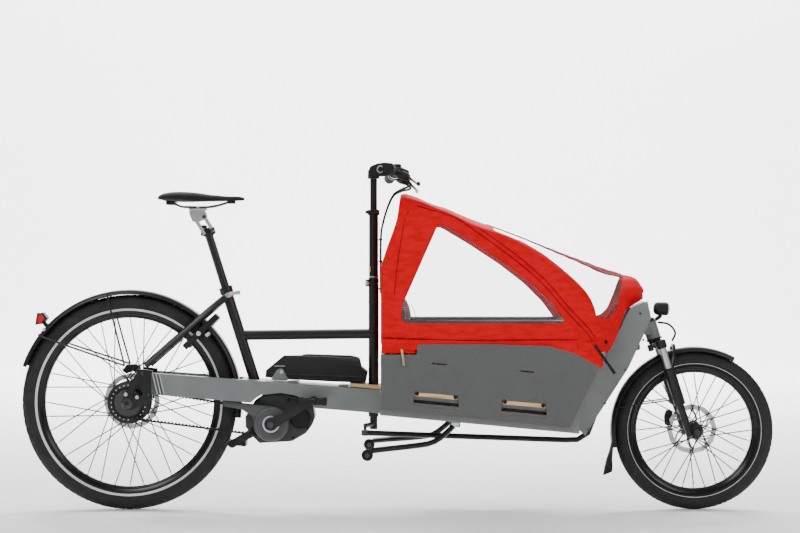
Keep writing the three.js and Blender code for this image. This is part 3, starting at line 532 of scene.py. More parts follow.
def rotor(bm, w, radius, y):
    """A wave-edged brake disc: an outer track joined to its carrier by swept arms."""
    steps = 120
    loops = []
    for i in range(steps):
        a = 2 * math.pi * i / steps
        wave = 0.0011 * math.cos(a * 12)
        loops.append([(w["x"] + q * math.cos(a), y + d, w["z"] + q * math.sin(a))
                      for q, d in ((radius - 0.017 + wave, -0.0009), (radius - 0.0012 + wave, -0.0009),
                                   (radius - 0.0012 + wave, 0.0009), (radius - 0.017 + wave, 0.0009))])
    rings(bm, loops, endless=True)
    for k in range(6):
        path = []
        for j in range(7):
            q = 0.024 + (radius - 0.04) * j / 6
            path.append(polar(w, q, 60 * k + 34 * (j / 6) ** 1.4, y))
        loops = []
        for j, p in enumerate(path):
            step = direction_at(path, j)
            side = Vector((-step.z, 0, step.x)) * (0.0042 - 0.0012 * math.sin(math.pi * j / 6))
            loops.append([p + side + Vector((0, -0.0008, 0)), p - side + Vector((0, -0.0008, 0)),
                          p - side + Vector((0, 0.0008, 0)), p + side + Vector((0, 0.0008, 0))])
        rings(bm, loops)


bm = bmesh.new()
lathe(bm, REAR["x"], REAR["z"], [(0.0115, -0.058), (0.0115, -0.046), (0.03, -0.0445), (0.034, -0.043),
      (0.046, -0.042), (0.05, -0.0385), (0.058, -0.0355), (0.0665, -0.0335), (0.068, -0.031),
      (0.0675, -0.0275), (0.0605, -0.026), (0.06, 0.026), (0.0675, 0.0275), (0.068, 0.031), (0.058, 0.0355),
      (0.05, 0.039), (0.022, 0.041), (0.022, 0.049), (0.018, 0.056), (0.004, 0.056), (0.004, -0.058)], 96)
piece("rear_hub_shell", bm, SATIN, "rear_wheel", ["rear_hub"], 28)
bm = bmesh.new()
lathe(bm, REAR["x"], REAR["z"], [(0.0305, -0.0452), (0.0345, -0.0436), (0.036, -0.0446), (0.032, -0.046)],
      96)
for k in range(24):
    p = polar(REAR, 0.0545, 15 * k, -0.0372)
    spun(bm, p, p + Vector((0, -0.0014, 0)), [(0, 0.0022), (0.7, 0.0022), (1, 0.0014)], 10)
piece("rear_hub_bright_ring", bm, STEEL, "rear_wheel", ())
bm = bmesh.new()
rotor(bm, REAR, 0.09, 0.05)
piece("rear_brake_disc", bm, STEEL, "rear_wheel", (), 30)
bm = bmesh.new()
lathe(bm, FRONT["x"], FRONT["z"], [(0.004, -0.046), (0.011, -0.046), (0.0125, -0.041), (0.019, -0.0365),
      (0.0262, -0.033), (0.0262, -0.028), (0.02, -0.026), (0.0165, -0.018), (0.0165, 0.018), (0.02, 0.026),
      (0.0262, 0.028), (0.0262, 0.033), (0.019, 0.0365), (0.014, 0.039), (0.014, 0.0455), (0.004, 0.046)],
      64)
piece("front_hub_shell", bm, SATIN, "front_wheel", ["front_hub"], 28)
bm = bmesh.new()
rotor(bm, FRONT, 0.08, 0.041)
piece("front_brake_disc", bm, STEEL, "front_wheel", (), 30)


# ---------------------------------------------------------------- belt drive
def sprocket_outline(count, radius, depth):
    points = []
    for i in range(count):
        for f, q in ((0.0, radius), (0.28, radius), (0.4, radius - depth), (0.62, radius - depth),
                     (0.76, radius)):
            a = 2 * math.pi * (i + f) / count
            points.append((q * math.cos(a), q * math.sin(a)))
    return points


def sprocket(name, x, z, count, radius, bore, node):
    bm = bmesh.new()
    outer = sprocket_outline(count, radius, 0.0034)
    loops = []
    for px, pz in outer:
        a = math.atan2(pz, px)
        bx, bz = bore * math.cos(a), bore * math.sin(a)
        loops.append([(x + px, -0.0565, z + pz), (x + px, -0.047, z + pz), (x + bx, -0.0475, z + bz),
                      (x + bx, -0.056, z + bz)])
    rings(bm, loops, endless=True)
    piece(name, bm, DARK_STEEL, node, [node], 30)


sprocket("rear_sprocket_toothed", REAR["x"], REAR["z"], 26, 0.0447, 0.0119, "rear_sprocket")
sprocket("front_sprocket_toothed", CRANK[0], CRANK[1], 22, 0.0378, 0.0125, "front_sprocket")


def belt_loop(grow):
    r1, r2 = 0.0455 + grow, 0.0385 + grow
    dx, dz = CRANK[0] - REAR["x"], CRANK[1] - REAR["z"]
    heading, spread = math.atan2(dz, dx), math.acos((r1 - r2) / math.hypot(dx, dz))
    corners = []
    for i in range(25):
        a = heading + spread + (2 * math.pi - 2 * spread) * i / 24
        corners.append((REAR["x"] + r1 * math.cos(a), REAR["z"] + r1 * math.sin(a)))
    for i in range(25):
        a = heading - spread + 2 * spread * i / 24
        corners.append((CRANK[0] + r2 * math.cos(a), CRANK[1] + r2 * math.sin(a)))
    return corners


def belt_teeth(bm):
    line = belt_loop(0.0004)
    points = [Vector((x, 0, z)) for x, z in line + line[:1]]
    lengths = [(b - a).length for a, b in zip(points, points[1:])]
    pitch, carried = 0.0113, 0.0
    middle = Vector(((REAR["x"] + CRANK[0]) / 2, 0, (REAR["z"] + CRANK[1]) / 2))
    for (a, b), length in zip(zip(points, points[1:]), lengths):
        along = (b - a).normalized() if length else Vector((1, 0, 0))
        inward = Vector((along.z, 0, -along.x))
        if inward.dot(middle - a) < 0:
            inward = -inward
        while carried < length:
            p = a + along * carried
            rings(bm, [[p + along * s + Vector((0, y, 0)) for s in (-0.0034, 0.0034)]
                       + [p + inward * 0.0034 + along * s + Vector((0, y, 0)) for s in (0.0022, -0.0022)]
                       for y in (-0.0575, -0.0465)])
            carried += pitch
        carried -= length


bm = bmesh.new()
outer, inner = belt_loop(0.005), belt_loop(0.0)
rings(bm, [[(a[0], -0.0578, a[1]), (a[0], -0.0462, a[1]), (b[0], -0.0462, b[1]), (b[0], -0.0578, b[1])]
           for a, b in zip(outer, inner)], endless=True)
belt_teeth(bm)
piece("toothed_belt", bm, RUBBER, "frame", ["belt"], 30)

# ---------------------------------------------------------------- motor, crank and pedals
dress("motor", CAST, 0.006)
dress("belt_guard", CAST_LIGHT, 0.0025)
cx, cz = CRANK
bm = bmesh.new()
lathe(bm, cx, cz, [(0.0235, -0.0672), (0.0235, -0.0725), (0.03, -0.0742), (0.041, -0.0745),
                   (0.0425, -0.0736), (0.044, -0.0745), (0.053, -0.0722), (0.056, -0.068),
                   (0.056, -0.0672)], 96)
for k in range(5):
    p = Vector((cx + 0.0485 * math.cos(k * 1.2566 + 0.5), -0.0735, cz + 0.0485 * math.sin(k * 1.2566 + 0.5)))
    bolt(bm, p, p + Vector((0, -0.0022, 0)), 0.0032)
piece("motor_round_cover", bm, CAST_LIGHT, "frame", (), 26)
bm = bmesh.new()
lathe(bm, cx, cz, [(0.0215, -0.0735), (0.0215, -0.0762), (0.0262, -0.0762), (0.0272, -0.0738)], 72)
piece("motor_bright_ring", bm, STEEL, "frame", ())
bm = bmesh.new()
lathe(bm, -0.307, 0.292, [(0.001, -0.0424), (0.001, -0.0505), (0.012, -0.0512), (0.0265, -0.0498),
                          (0.0275, -0.0482), (0.029, -0.0492), (0.033, -0.047), (0.0335, -0.0424)], 72)
for x, z in ((-0.345, 0.352), (-0.44, 0.352), (-0.283, 0.262), (-0.33, 0.2315), (-0.46, 0.262),
             (-0.43, 0.228)):
    bolt(bm, (x, -0.042, z), (x, -0.0465, z), 0.0048)
for k in range(7):
    z = 0.246 + 0.0065 * k
    slab(bm, [(-0.4455 + 0.004 * k, z), (-0.4655 + 0.002 * k, z + 0.001), (-0.4655 + 0.002 * k, z + 0.0035),
              (-0.4455 + 0.004 * k, z + 0.0025)], -0.0445, -0.041)
piece("motor_small_cover", bm, PLASTIC, "frame", (), 30)
dress("crank_set", BLACK, 0.0022)
bm = bmesh.new()
spun_pair(bm, (cx, 0.1022, cz), (cx, 0.106, cz), [(0, 0.0095), (0.7, 0.0095), (1, 0.0078), (0.6, 0.005)], 24)
piece("crank_bolts", bm, DARK_STEEL, "crank", ())
reach, climb = CRANK_ARM * math.cos(CRANK_TILT), CRANK_ARM * math.sin(CRANK_TILT)
tips = {"right": (cx + reach, cz + climb, -1), "left": (cx - reach, cz - climb, 1)}
for name, (px, pz, side) in tips.items():
    y0, y1 = sorted((side * 0.110, side * 0.196))
    bm = bmesh.new()
    spun(bm, (px, side * 0.1095, pz), (px, side * 0.1955, pz),
         [(0, 0.0105), (0.06, 0.011), (0.1, 0.0085), (0.9, 0.008), (0.94, 0.0098), (1, 0.0085)], 20)
    for x in (-0.041, -0.0285, 0.0285, 0.041):
        thick = 0.002 if abs(x) > 0.03 else 0.0015
        slab(bm, [(px + x - thick, pz - 0.0098), (px + x + thick, pz - 0.0098),
                  (px + x + thick, pz + 0.0098), (px + x - thick, pz + 0.0098)], y0 + 0.004, y1)
    for y in (y0 + 0.003, (y0 + y1) / 2 - 0.003, y1 - 0.009):
        slab(bm, [(px - 0.042, pz - 0.008), (px + 0.042, pz - 0.008), (px + 0.042, pz + 0.008),
                  (px - 0.042, pz + 0.008)], y, y + 0.006)
    piece(f"pedal_{name}_cage", bm, PLASTIC, f"pedal_{name}", [f"pedal_{name}"], 30, 0.0009)
    bm = bmesh.new()
    for x in (-0.036, 0.036):
        for k in range(8):
            y = y0 + 0.012 + 0.009 * k
            brick(bm, (px + x - 0.005, y, pz - 0.0108), (px + x + 0.005, y + 0.005, pz + 0.0108))
    piece(f"pedal_{name}_pads", bm, RUBBER, f"pedal_{name}", (), 30, 0.0006)
    bm = bmesh.new()
    for x in (-1, 1):
        edges = sorted((px + x * 0.0412, px + x * 0.0429))
        brick(bm, (edges[0], y0 + 0.02, pz - 0.006), (edges[1], y1 - 0.018, pz + 0.006))
    piece(f"pedal_{name}_reflectors", bm, AMBER, f"pedal_{name}", (), 30)

# ---------------------------------------------------------------- frame: kept CAD pieces and their fittings
for name in ("dropout_right", "dropout_left", "seat_tube", "seat_stays", "top_tube", "column_tube",
             "steering_column", "bar_column", "stem", "handlebar", "fork_upper", "fork_lowers", "tie_rod",
             "stand", "seatpost"):
    dress(name, BLACK, 0.0009)
dress("seatpost", BLACK, 0.0008)  # a second, finer rounding of its edges
for name in ("main_beam", "cargo_frame"):
    dress(name, GREY, 0.0022)
for name in ("side_panel_right", "side_panel_left"):
    dress(name, BOARD, 0.0006)
dress("cargo_tub", PLY, 0.001)
dress("ring_lock", PLASTIC, 0.003)
for name in ("post_link_front", "post_link_rear", "saddle_head"):
    dress(name, ALLOY)
dress("canopy_rail", SATIN, 0.001)


def section_sweep(w, section, start, end, steps):
    loops = []
    for i in range(steps + 1):
        a = math.radians(start + (end - start) * i / steps)
        loops.append([(w["x"] + r * math.cos(a), y, w["z"] + r * math.sin(a)) for r, y in section])
    return loops


def fender(name, w, r, half, start, end, body, node):
    """A rolled mudguard with a raised lip along both edges."""
    top = [(r - 0.0135, -half), (r - 0.009, -half + 0.0012), (r - 0.004, -half + 0.0042),
           (r - 0.001, -half + 0.009), (r, -half * 0.45), (r, half * 0.45), (r - 0.001, half - 0.009),
           (r - 0.004, half - 0.0042), (r - 0.009, half - 0.0012), (r - 0.0135, half)]
    under = [(q - 0.0016, y * 0.94) for q, y in reversed(top)]
    bm = bmesh.new()
    rings(bm, section_sweep(w, top + under, start, end, 110))
    piece(name, bm, SATIN, body, [node], 45)


fender("rear_mudguard", REAR, 0.359, 0.037, -8, 161, "frame", "rear_fender")
fender("front_mudguard", FRONT, 0.267, 0.031, 61, 192, "lowers", "front_fender")
stays = []
for side in (-1, 1):
    for angle in (101, 142):
        stays.append([polar(REAR, 0.352, angle, side * 0.036), polar(REAR, 0.335, angle, side * 0.043),
                      Vector((-0.863, side * 0.068, 0.462))])
wires("rear_mudguard_stays", stays, 0.0031, BLACK, "frame", (), 4)
wires("front_mudguard_stays", [[polar(FRONT, 0.262, 165, s * 0.03), polar(FRONT, 0.245, 162, s * 0.036),
                                Vector((0.868, s * 0.039, 0.351))] for s in (-1, 1)],
      0.0022, BLACK, "lowers", (), 4)
bm = bmesh.new()
flap = [(0.2662, 187.5), (0.2705, 190.5), (0.281, 194.5), (0.297, 199), (0.311, 203), (0.3245, 206.5)]
wings = (0.002, 0.004, 0.009, 0.016, 0.024, 0.028)
loops = []
for (r, a), half, wing in zip(flap, (0.026, 0.028, 0.029, 0.03, 0.03, 0.026), wings):
    row = [(y, wing * (y / half) ** 2) for y in (-half, -half * 0.5, 0, half * 0.5, half)]
    loops.append([polar(FRONT, r - sag, a, y) for y, sag in row]
                 + [polar(FRONT, r - 0.0024 - sag, a, y) for y, sag in reversed(row)])
rings(bm, loops)
piece("front_mud_flap", bm, RUBBER, "lowers", (), 40)

bm = bmesh.new()
for x, z in ((-0.806, 0.437), (-0.785, 0.372)):
    bolt_pair(bm, x, z, 0.074, 0.0795, 0.0062)
spun_pair(bm, (REAR["x"], 0.074, REAR["z"]), (REAR["x"], 0.083, REAR["z"]),
          [(0, 0.0195), (0.4, 0.0195), (0.5, 0.015), (1, 0.0135)], 6)
piece("rear_axle_nuts", bm, DARK_STEEL, "frame", (), 30, 0.0006)
bm = bmesh.new()
for x, z in ((-0.858, 0.371), (-0.823, 0.3625)):
    bolt_pair(bm, x, z, 0.0738, 0.0782, 0.0062)
piece("dropout_bolts", bm, STEEL, "frame", (), 30)
bm = bmesh.new()
slab_pair(bm, [(-0.7735, 0.438), (-0.7735, 0.373), (-0.7345, 0.3695), (-0.7515, 0.4362)], 0.0862, 0.0872)
piece("beam_dark_panels", bm, GREY_DARK, "frame", (), 30, 0.0004)
bm = bmesh.new()
for k in range(3):
    top, foot, wide = -0.7705 + 0.0105 * k, -0.7555 + 0.0105 * k, 0.0026
    slab_pair(bm, [(top - wide, 0.4376 - 0.0008 * k), (top + wide * 0.3, 0.4374 - 0.0008 * k),
                   (foot + wide * 0.3, 0.3716), (foot - wide, 0.3718)], 0.0872, 0.0878)
piece("beam_slanted_stripes", bm, PALE, "frame", (), 30)
bm = bmesh.new()
slab_pair(bm, [(-0.7765, 0.4388), (-0.7742, 0.4388), (-0.7742, 0.373), (-0.7765, 0.374)], 0.062, 0.0865)
piece("chainstay_caps", bm, GREY_DARK, "frame", (), 30, 0.0005)

# ---------------------------------------------------------------- rain canopy
# Stations along the tent: x, foot height, side height, ridge height, half width.
TENT = metres([(-50, 538, 774, 784, 236), (-20, 538, 858, 869, 237), (0, 538, 918, 930, 237),
        (12, 538, 980, 1000, 237), (133, 538, 950, 968, 238), (237, 538, 900, 928, 238),
        (322, 538, 872, 897, 238), (389, 538, 842, 872, 238), (450, 538, 802, 848, 238),
        (511, 538, 744, 824, 238), (572, 538, 677, 801, 234), (610, 540, 630, 787, 222),
        (655, 568, 600, 770, 176), (715, 652, 668, 752, 112), (764, 684, 694, 738, 62),
        (786, 694, 698, 708, 30)])
SIDE_WINDOW = [(145, 905), (127, 905), (16, 654), (13, 613), (29, 601), (511, 601), (518, 608), (480, 660),
               (419, 721), (340, 782), (237, 850)]
SCREEN = [(300, 886), (389, 854), (452, 812), (513, 754), (574, 688), (612, 628), (630, 615), (664, 616),
          (686, 640), (702, 684), (716, 740), (716, 900), (300, 960)]
HOOP_SEAM = [(62, 963), (176, 928), (245, 883), (319, 830), (388, 777), (457, 714), (521, 639), (580, 577),
             (604, 545)]


def rounded(outline, reach=0.012, steps=4):
    """A closed outline with its corners turned into short curves."""
    corners = []
    points = [Vector(p) for p in outline]
    for i, p in enumerate(points):
        before, after = points[i - 1], points[(i + 1) % len(points)]
        a = p + (before - p).normalized() * min(reach, (before - p).length * 0.45)
        b = p + (after - p).normalized() * min(reach, (after - p).length * 0.45)
        for k in range(steps + 1):
            t = k / steps
            corners.append(tuple(a * (1 - t) ** 2 + p * 2 * t * (1 - t) + b * t * t))
    return corners


def station_at(x):
    """The tent's foot, side, ridge and half width at x, on smooth curves through the stations."""
    x = min(max(x, TENT[0][0]), TENT[-1][0])
    i = max(k for k in range(len(TENT) - 1) if TENT[k][0] <= x)
    a, b = TENT[i], TENT[i + 1]
    before, after = TENT[max(i - 1, 0)], TENT[min(i + 2, len(TENT) - 1)]
    t = (x - a[0]) / (b[0] - a[0])
    found = []
    for k in range(1, 5):
        slope_a = (b[k] - before[k]) / (b[0] - before[0]) * (b[0] - a[0])
        slope_b = (after[k] - a[k]) / (after[0] - a[0]) * (b[0] - a[0])
        steep = b[k] - a[k]
        slope_a, slope_b = (min(max(s, -3 * abs(steep)), 3 * abs(steep)) for s in (slope_a, slope_b))
        found.append((2 * t ** 3 - 3 * t * t + 1) * a[k] + (t ** 3 - 2 * t * t + t) * slope_a
                     + (3 * t * t - 2 * t ** 3) * b[k] + (t ** 3 - t * t) * slope_b)
    return found


def half_section(x):
    """Points (y, z) up the wall, over a soft shoulder and across the roof to the ridge."""
    wall, roof = 22, 20
    foot, side, ridge, half = station_at(x)
    rise = ridge - side
    points = [(half, foot + (side - foot) * k / wall) for k in range(wall + 1)]
    knots = [(half, side), (half * 0.93, side + rise * 0.3), (half * 0.5, side + rise * 0.82), (0.0, ridge)]
    for k in range(1, roof + 1):
        t = k / roof
        s = t * 3
        i = min(int(s), 2)
        f = s - i
        a, b = knots[i], knots[i + 1]
        points.append((a[0] + (b[0] - a[0]) * f, a[1] + (b[1] - a[1]) * f))
    for _ in range(2):
        eased = [tuple((before[k] + 2 * here[k] + after[k]) / 4 for k in (0, 1))
                 for before, here, after in zip(points, points[1:], points[2:])]
        points = [points[0], *eased, points[-1]]
    return points


def skin(x, z):
    """How far out the tent's surface is at (x, z)."""
    points = half_section(x)
    for (ya, za), (yb, zb) in zip(points, points[1:]):
        if za <= z <= zb and zb > za:
            return ya + (yb - ya) * (z - za) / (zb - za)
    return points[0][0] if z < points[0][1] else 0.0


def crease(x, y, z, side):
    """Slack cloth: long soft folds, strongest at the back panel and along the hem."""
    back = math.exp(-((x - 0.02) / 0.075) ** 2)
    hem = math.exp(-((z - 0.565) / 0.03) ** 2)
    nose = math.exp(-((x - 0.66) / 0.05) ** 2)
    tug = noise.noise(Vector((x * 11 - z * 6, z * 5 + x * 6, 3.1 + side))) * 0.006 * back
    folds = (1 - abs(noise.noise(Vector((x * 16 - z * 11, x * 5 + z * 3, side * 2.0))))) ** 7 * 0.0052 * back
    ripple = noise.noise(Vector((x * 2.6, z * 44 + x * 5, 8.0 + side)))
    waves = (1 - abs(ripple)) ** 6 * 0.0034 * (hem + 0.5 * nose)
    hoop = (1 - abs(noise.noise(Vector((x * 7 + z * 7, (x - z) * 2.0, 5.0 + side))))) ** 8 * 0.0022
    slow = noise.noise(Vector((x * 7, y * 6, z * 9 + side))) * 0.0012
    steady = min(1.0, max(0.0, (x - TENT[0][0]) / 0.03)) * min(1.0, abs(y) / 0.06)
    return (tug + folds + waves + slow + hoop) * steady


def creased(bm):
    """Push every point of a piece cut from the tent out or in by the cloth's creases."""
    for vert in bm.verts:
        x, y, z = vert.co
        side = 1 if y > 0 else -1
        shoulder, ridge = station_at(x)[1:3]
        lean = min(1.0, max(0.0, (z - shoulder + 0.01) / (ridge - shoulder + 0.01)))
        vert.co += Vector((0, side * (1 - lean), lean)).normalized() * crease(x, y, z, side)
    return bm


def tent_skin(inset, drop):
    """The closed outer or inner surface of the tent as rings from its back wall to its nose."""
    steps = sorted({round(TENT[0][0] + (TENT[-1][0] - TENT[0][0]) * k / 150, 5) for k in range(151)}
                   | {-0.046, -0.042, -0.035, -0.028, -0.014, 0.004, 0.008, 0.016, 0.02})
    loops = []
    for x in steps:
        half = half_section(x)
        loop = []
        full = [(y, z, 1) for y, z in half] + [(-y, z, -1) for y, z in reversed(half[:-1])]
        for i, (y, z, side) in enumerate(full):
            ahead, behind = full[(i + 1) % len(full)], full[i - 1]
            along = Vector((ahead[0] - behind[0], ahead[1] - behind[1]))
            if i in (0, len(full) - 1):
                along = Vector((0, side))
            out = Vector((along.y, -along.x)).normalized()
            z_low = z - drop if i in (0, len(full) - 1) else z
            loop.append(Vector((x, y - out.x * inset, z_low - out.y * inset)))
        loops.append(loop)
    for p in loops[0]:
        p.x += inset
    for p in loops[-1]:
        p.x -= inset
    bm = bmesh.new()
    rings(bm, loops)
    bmesh.ops.triangulate(bm, faces=[f for f in bm.faces if len(f.verts) > 4])
    bmesh.ops.recalc_face_normals(bm, faces=bm.faces)
    return bm


def loose(name, bm):
    mesh = bpy.data.meshes.new(name)
    bm.to_mesh(mesh)
    bm.free()
    made = bpy.data.objects.new(name, mesh)
    bpy.context.scene.collection.objects.link(made)
    return made


def prism(name, outline, low, high):
    bm = bmesh.new()
    slab(bm, rounded(metres(outline)), low, high)
    bmesh.ops.recalc_face_normals(bm, faces=bm.faces)
    return loose(name, bm)


def carved(base, steps):
    """The base's mesh after boolean steps of (tool, operation)."""
    for tool, operation in steps:
        cut = base.modifiers.new("cut", "BOOLEAN")
        cut.object = tool
        cut.operation = operation
        cut.solver = "EXACT"
    seen = bpy.context.evaluated_depsgraph_get()
    mesh = bpy.data.meshes.new_from_object(base.evaluated_get(seen))
    base.modifiers.clear()
    bm = bmesh.new()
    bm.from_mesh(mesh)
    bpy.data.meshes.remove(mesh)
    return bm


outer, inner = loose("tent_outer", tent_skin(0.0, 0.0)), loose("tent_inner", tent_skin(0.0022, 0.02))
film_outer = loose("film_outer", tent_skin(0.0006, 0.0))
film_inner = loose("film_inner", tent_skin(0.0014, 0.02))
window_right = prism("window_right", SIDE_WINDOW, -0.26, -0.2)
window_left = prism("window_left", SIDE_WINDOW, 0.2, 0.26)
screen = prism("screen", SCREEN, -0.215, 0.215)
bm = carved(outer, [(inner, "DIFFERENCE"), (window_right, "DIFFERENCE"), (window_left, "DIFFERENCE"),
                    (screen, "DIFFERENCE")])
back_wall = [f for f in bm.faces if f.calc_center_median().x < -0.0475 and abs(f.normal.x) > 0.97]
bmesh.ops.delete(bm, geom=back_wall, context="FACES")
bmesh.ops.holes_fill(bm, edges=[e for e in bm.edges if e.is_boundary], sides=0)
bmesh.ops.triangulate(bm, faces=[f for f in bm.faces if len(f.verts) > 30])
canopy = piece("canopy_cloth", creased(bm), RED, "frame", ["canopy"], 40)
for tool, name, slot_node in ((window_right, "window_film_right", "side_window_right"),
                              (window_left, "window_film_left", "side_window_left"),
                              (screen, "windscreen_film", "windscreen")):
    bm = carved(film_outer, [(film_inner, "DIFFERENCE"), (tool, "INTERSECT")])
    piece(name, creased(bm), FILM, "frame", [slot_node], 40)
for spare in (outer, inner, film_outer, film_inner, window_right, window_left, screen):
    bpy.data.objects.remove(spare)


bm = bmesh.new()
loops = []
for i in range(49):
    z = 0.539 + (0.7805 - 0.539) * i / 48
    wide = skin(TENT[0][0], z) - 0.0008
    front, back = [], []
    for k in range(61):
        v = 2 * k / 60 - 1
        slack = abs(noise.noise(Vector((v * 5, z * 9 + v * 3, 2.0))))
        fold = 0.0045 * (1 - v * v) + 0.0035 * slack * (1 - v ** 4)
        front.append((-0.0498 + fold, v * wide, z))
        back.append((-0.0484 + fold, v * wide, z))
    loops.append(front + back[::-1])
rings(bm, loops)
on_canopy = [piece("canopy_back_panel", bm, RED, "frame", (), 60)]


def on_tent(x, z, side):
    """A point just outside the tent's creased side."""
    out = skin(x, z)
    return Vector((x, side * (out + 0.001 + crease(x, out, z, side)), z))


def tent_strip(bm, line, width, side):
    """A flat band laid on the tent's side along a line of (x, z) points."""
    path = smooth_path([(x, 0, z) for x, z in metres(line)], 10)
    loops = []
    for i, p in enumerate(path):
        step = direction_at(path, i)
        across = Vector((-step.z, 0, step.x)) * width / 2
        a, b = p + across, p - across
        row = [on_tent(q.x, q.z, side) for q in (a, p, b)]
        loops.append(row + [q - Vector((0, side * 0.0012, 0)) for q in reversed(row)])
    rings(bm, loops)


bm = bmesh.new()
for side in (-1, 1):
    tent_strip(bm, HOOP_SEAM, 0.003, side)
    tent_strip(bm, [(x + 9, z + 11) for x, z in HOOP_SEAM], 0.003, side)
    tent_strip(bm, [(-44, 556), (80, 552), (250, 548), (420, 550), (560, 550)], 0.0035, side)
    tent_strip(bm, [(-8, 690), (4, 800), (22, 905), (36, 950)], 0.0025, side)
on_canopy.append(piece("canopy_seams", bm, RED_DARK, "frame", (), 50))

# A dark red band along the roof's ridge stands for the ridge line seen in shade: painted shade.
bm = bmesh.new()
loops = []
for i in range(41):
    x = 0.285 + 0.433 * i / 40
    row = []
    for k in range(-6, 7):
        y = 0.045 * k / 6
        shoulder, ridge, half = station_at(x)[1:]
        drop = (ridge - shoulder) * 0.18 * abs(y) / (half * 0.5)
        row.append(Vector((x, y, ridge - drop + 0.0022 + 0.0006 * math.sin(i * 1.7 + k))))
    loops.append(row + [p - Vector((0, 0, 0.0012)) for p in reversed(row)])
rings(bm, loops)
on_canopy.append(piece("canopy_ridge_painted_shade", bm, RED_DARK, "frame", (), 50))

# The canopy's lower flaps, hem strap, toggles and elastic loops.
bm = bmesh.new()
for side in (-1, 1):
    outline = [(0.49, 0.541), (0.612, 0.541), (0.638, 0.476), (0.63, 0.4605), (0.6, 0.468), (0.556, 0.494),
               (0.49, 0.516)]
    rings(bm, [[(x, side * (out + 0.001 * math.sin(x * 90)), z) for x, z in rounded(outline, 0.006)]
               for out in (0.2378, 0.2396)])
    hem = [((0.56, 0.239, 0.5415), (0.562, 0.2405, 0.516)),
           ((0.602, 0.2375, 0.5415), (0.604, 0.2405, 0.5115)),
           ((0.63, 0.2085, 0.5535), (0.637, 0.2105, 0.5105)),
           ((0.655, 0.1775, 0.5695), (0.663, 0.174, 0.5135)),
           ((0.68, 0.1545, 0.6035), (0.682, 0.148, 0.545)), ((0.7, 0.13, 0.632), (0.7, 0.122, 0.585)),
           ((0.718, 0.1115, 0.6555), (0.7165, 0.1085, 0.63))]
    corner = []
    for upper, lower in hem:
        a, b = (Vector((p[0], side * p[1], p[2])) for p in (upper, lower))
        row = [a.lerp(b, t / 6) + Vector((0, side * 0.0035 * math.sin(math.pi * t / 6), 0))
               for t in range(7)]
        corner.append(row + [p - Vector((0.0008, side * 0.0014, 0)) for p in reversed(row)])
    rings(bm, corner)
    strap = [(-0.049, 0.5205), (0.055, 0.5205), (0.0575, 0.508), (-0.049, 0.508)]
    rings(bm, [[(x, side * out, z) for x, z in strap] for out in (0.2325, 0.2345)])
on_canopy.append(piece("canopy_lower_flaps", bm, RED, "frame", (), 40))
bm = bmesh.new()
spun_pair(bm, (0.0145, 0.2442, 0.522), (0.0225, 0.2442, 0.47),
          [(0, 0.0022), (0.08, 0.0042), (0.2, 0.0036), (0.8, 0.0036), (0.92, 0.0042), (1, 0.0022)], 14)
on_canopy.append(piece("canopy_toggles", bm, CORD, "frame", ()))
bm = bmesh.new()
spun_pair(bm, (0.61, 0.2392, 0.534), (0.6715, 0.2415, 0.446),
          [(0, 0.0038), (0.02, 0.0048), (0.3, 0.0042), (0.31, 0.0048), (0.62, 0.0048), (0.63, 0.0042),
           (0.97, 0.0048), (1, 0.0036)], 14)
spun_pair(bm, (0.6465, 0.189, 0.541), (0.6505, 0.1965, 0.541),
          [(0, 0.0072), (0.5, 0.0072), (0.8, 0.006), (1, 0.004)], 24)
on_canopy.append(piece("canopy_hold_downs", bm, WEBBING_AND_SLOT_SHADE, "frame", (), 40))

# ---------------------------------------------------------------- child seat
def cushion(name, low, high, thick, half, channels, material, node=None):
    """A stuffed pad between two points in the middle plane: crowned, sewn and pinched at its edges."""
    low, high = Vector(low), Vector(high)
    along = (high - low) / 2
    centre = (high + low) / 2
    lift = Vector((-along.z, 0, along.x)).normalized()
    if lift.z < 0:
        lift = -lift
    rows, columns = 44, 72
    pull, crown = 0.05, 0.3

    def drawn_in(u, v):
        """Where the seams pull the point (u, v) of the pad, in the pad's own plane."""
        pinch_u = 1 - pull * (1 - abs(v) ** 2) * abs(u) ** 3
        pinch_v = 1 - pull * 0.4 * (1 - abs(u) ** 2) * abs(v) ** 3
        return along * (u * pinch_u) + Vector((0, half * v * pinch_v, 0))

    bm = bmesh.new()
    for face in (1, -1):
        grid = []
        for i in range(rows + 1):
            row = []
            for j in range(columns + 1):
                u = math.sin(math.pi / 2 * (2 * i / rows - 1))
                v = math.sin(math.pi / 2 * (2 * j / columns - 1))
                body = (max(1 - abs(u) ** 5, 0) * max(1 - abs(v) ** 7, 0)) ** 0.42
                dome = 1 - crown * (0.5 * u * u + 0.5 * v * v)
                sewn = 1.0
                for kind, at in channels:
                    gap = (u if kind == "across" else v) - at
                    sewn -= 0.3 * math.exp(-(gap / (0.035 if kind == "across" else 0.018)) ** 2)
                wrinkle = 0.0018 * noise.noise(Vector((u * 6, v * 11, face * 4.0))) * body
                rise = thick / 2 * body * (dome * sewn if face > 0 else 0.92) + wrinkle
                row.append(bm.verts.new(centre + drawn_in(u, v) + lift * (face * rise)))
            grid.append(row)
        for i in range(rows):
            for j in range(columns):
                bm.faces.new((grid[i][j], grid[i + 1][j], grid[i + 1][j + 1], grid[i][j + 1]))
    bmesh.ops.remove_doubles(bm, verts=bm.verts, dist=1e-5)
    made = piece(name, bm, material, "frame", [node] if node else (), 60)
    edge = []
    for u, v in ([(-1, -1 + 2 * k / 20) for k in range(20)] + [(-1 + 2 * k / 12, 1) for k in range(12)]
                 + [(1, 1 - 2 * k / 20) for k in range(20)] + [(1 - 2 * k / 12, -1) for k in range(13)]):
        edge.append(centre + drawn_in(u, v) * 0.995)
    wires(f"{name}_piping", [edge], 0.0032, WEBBING_AND_SLOT_SHADE, "frame", (), 0)


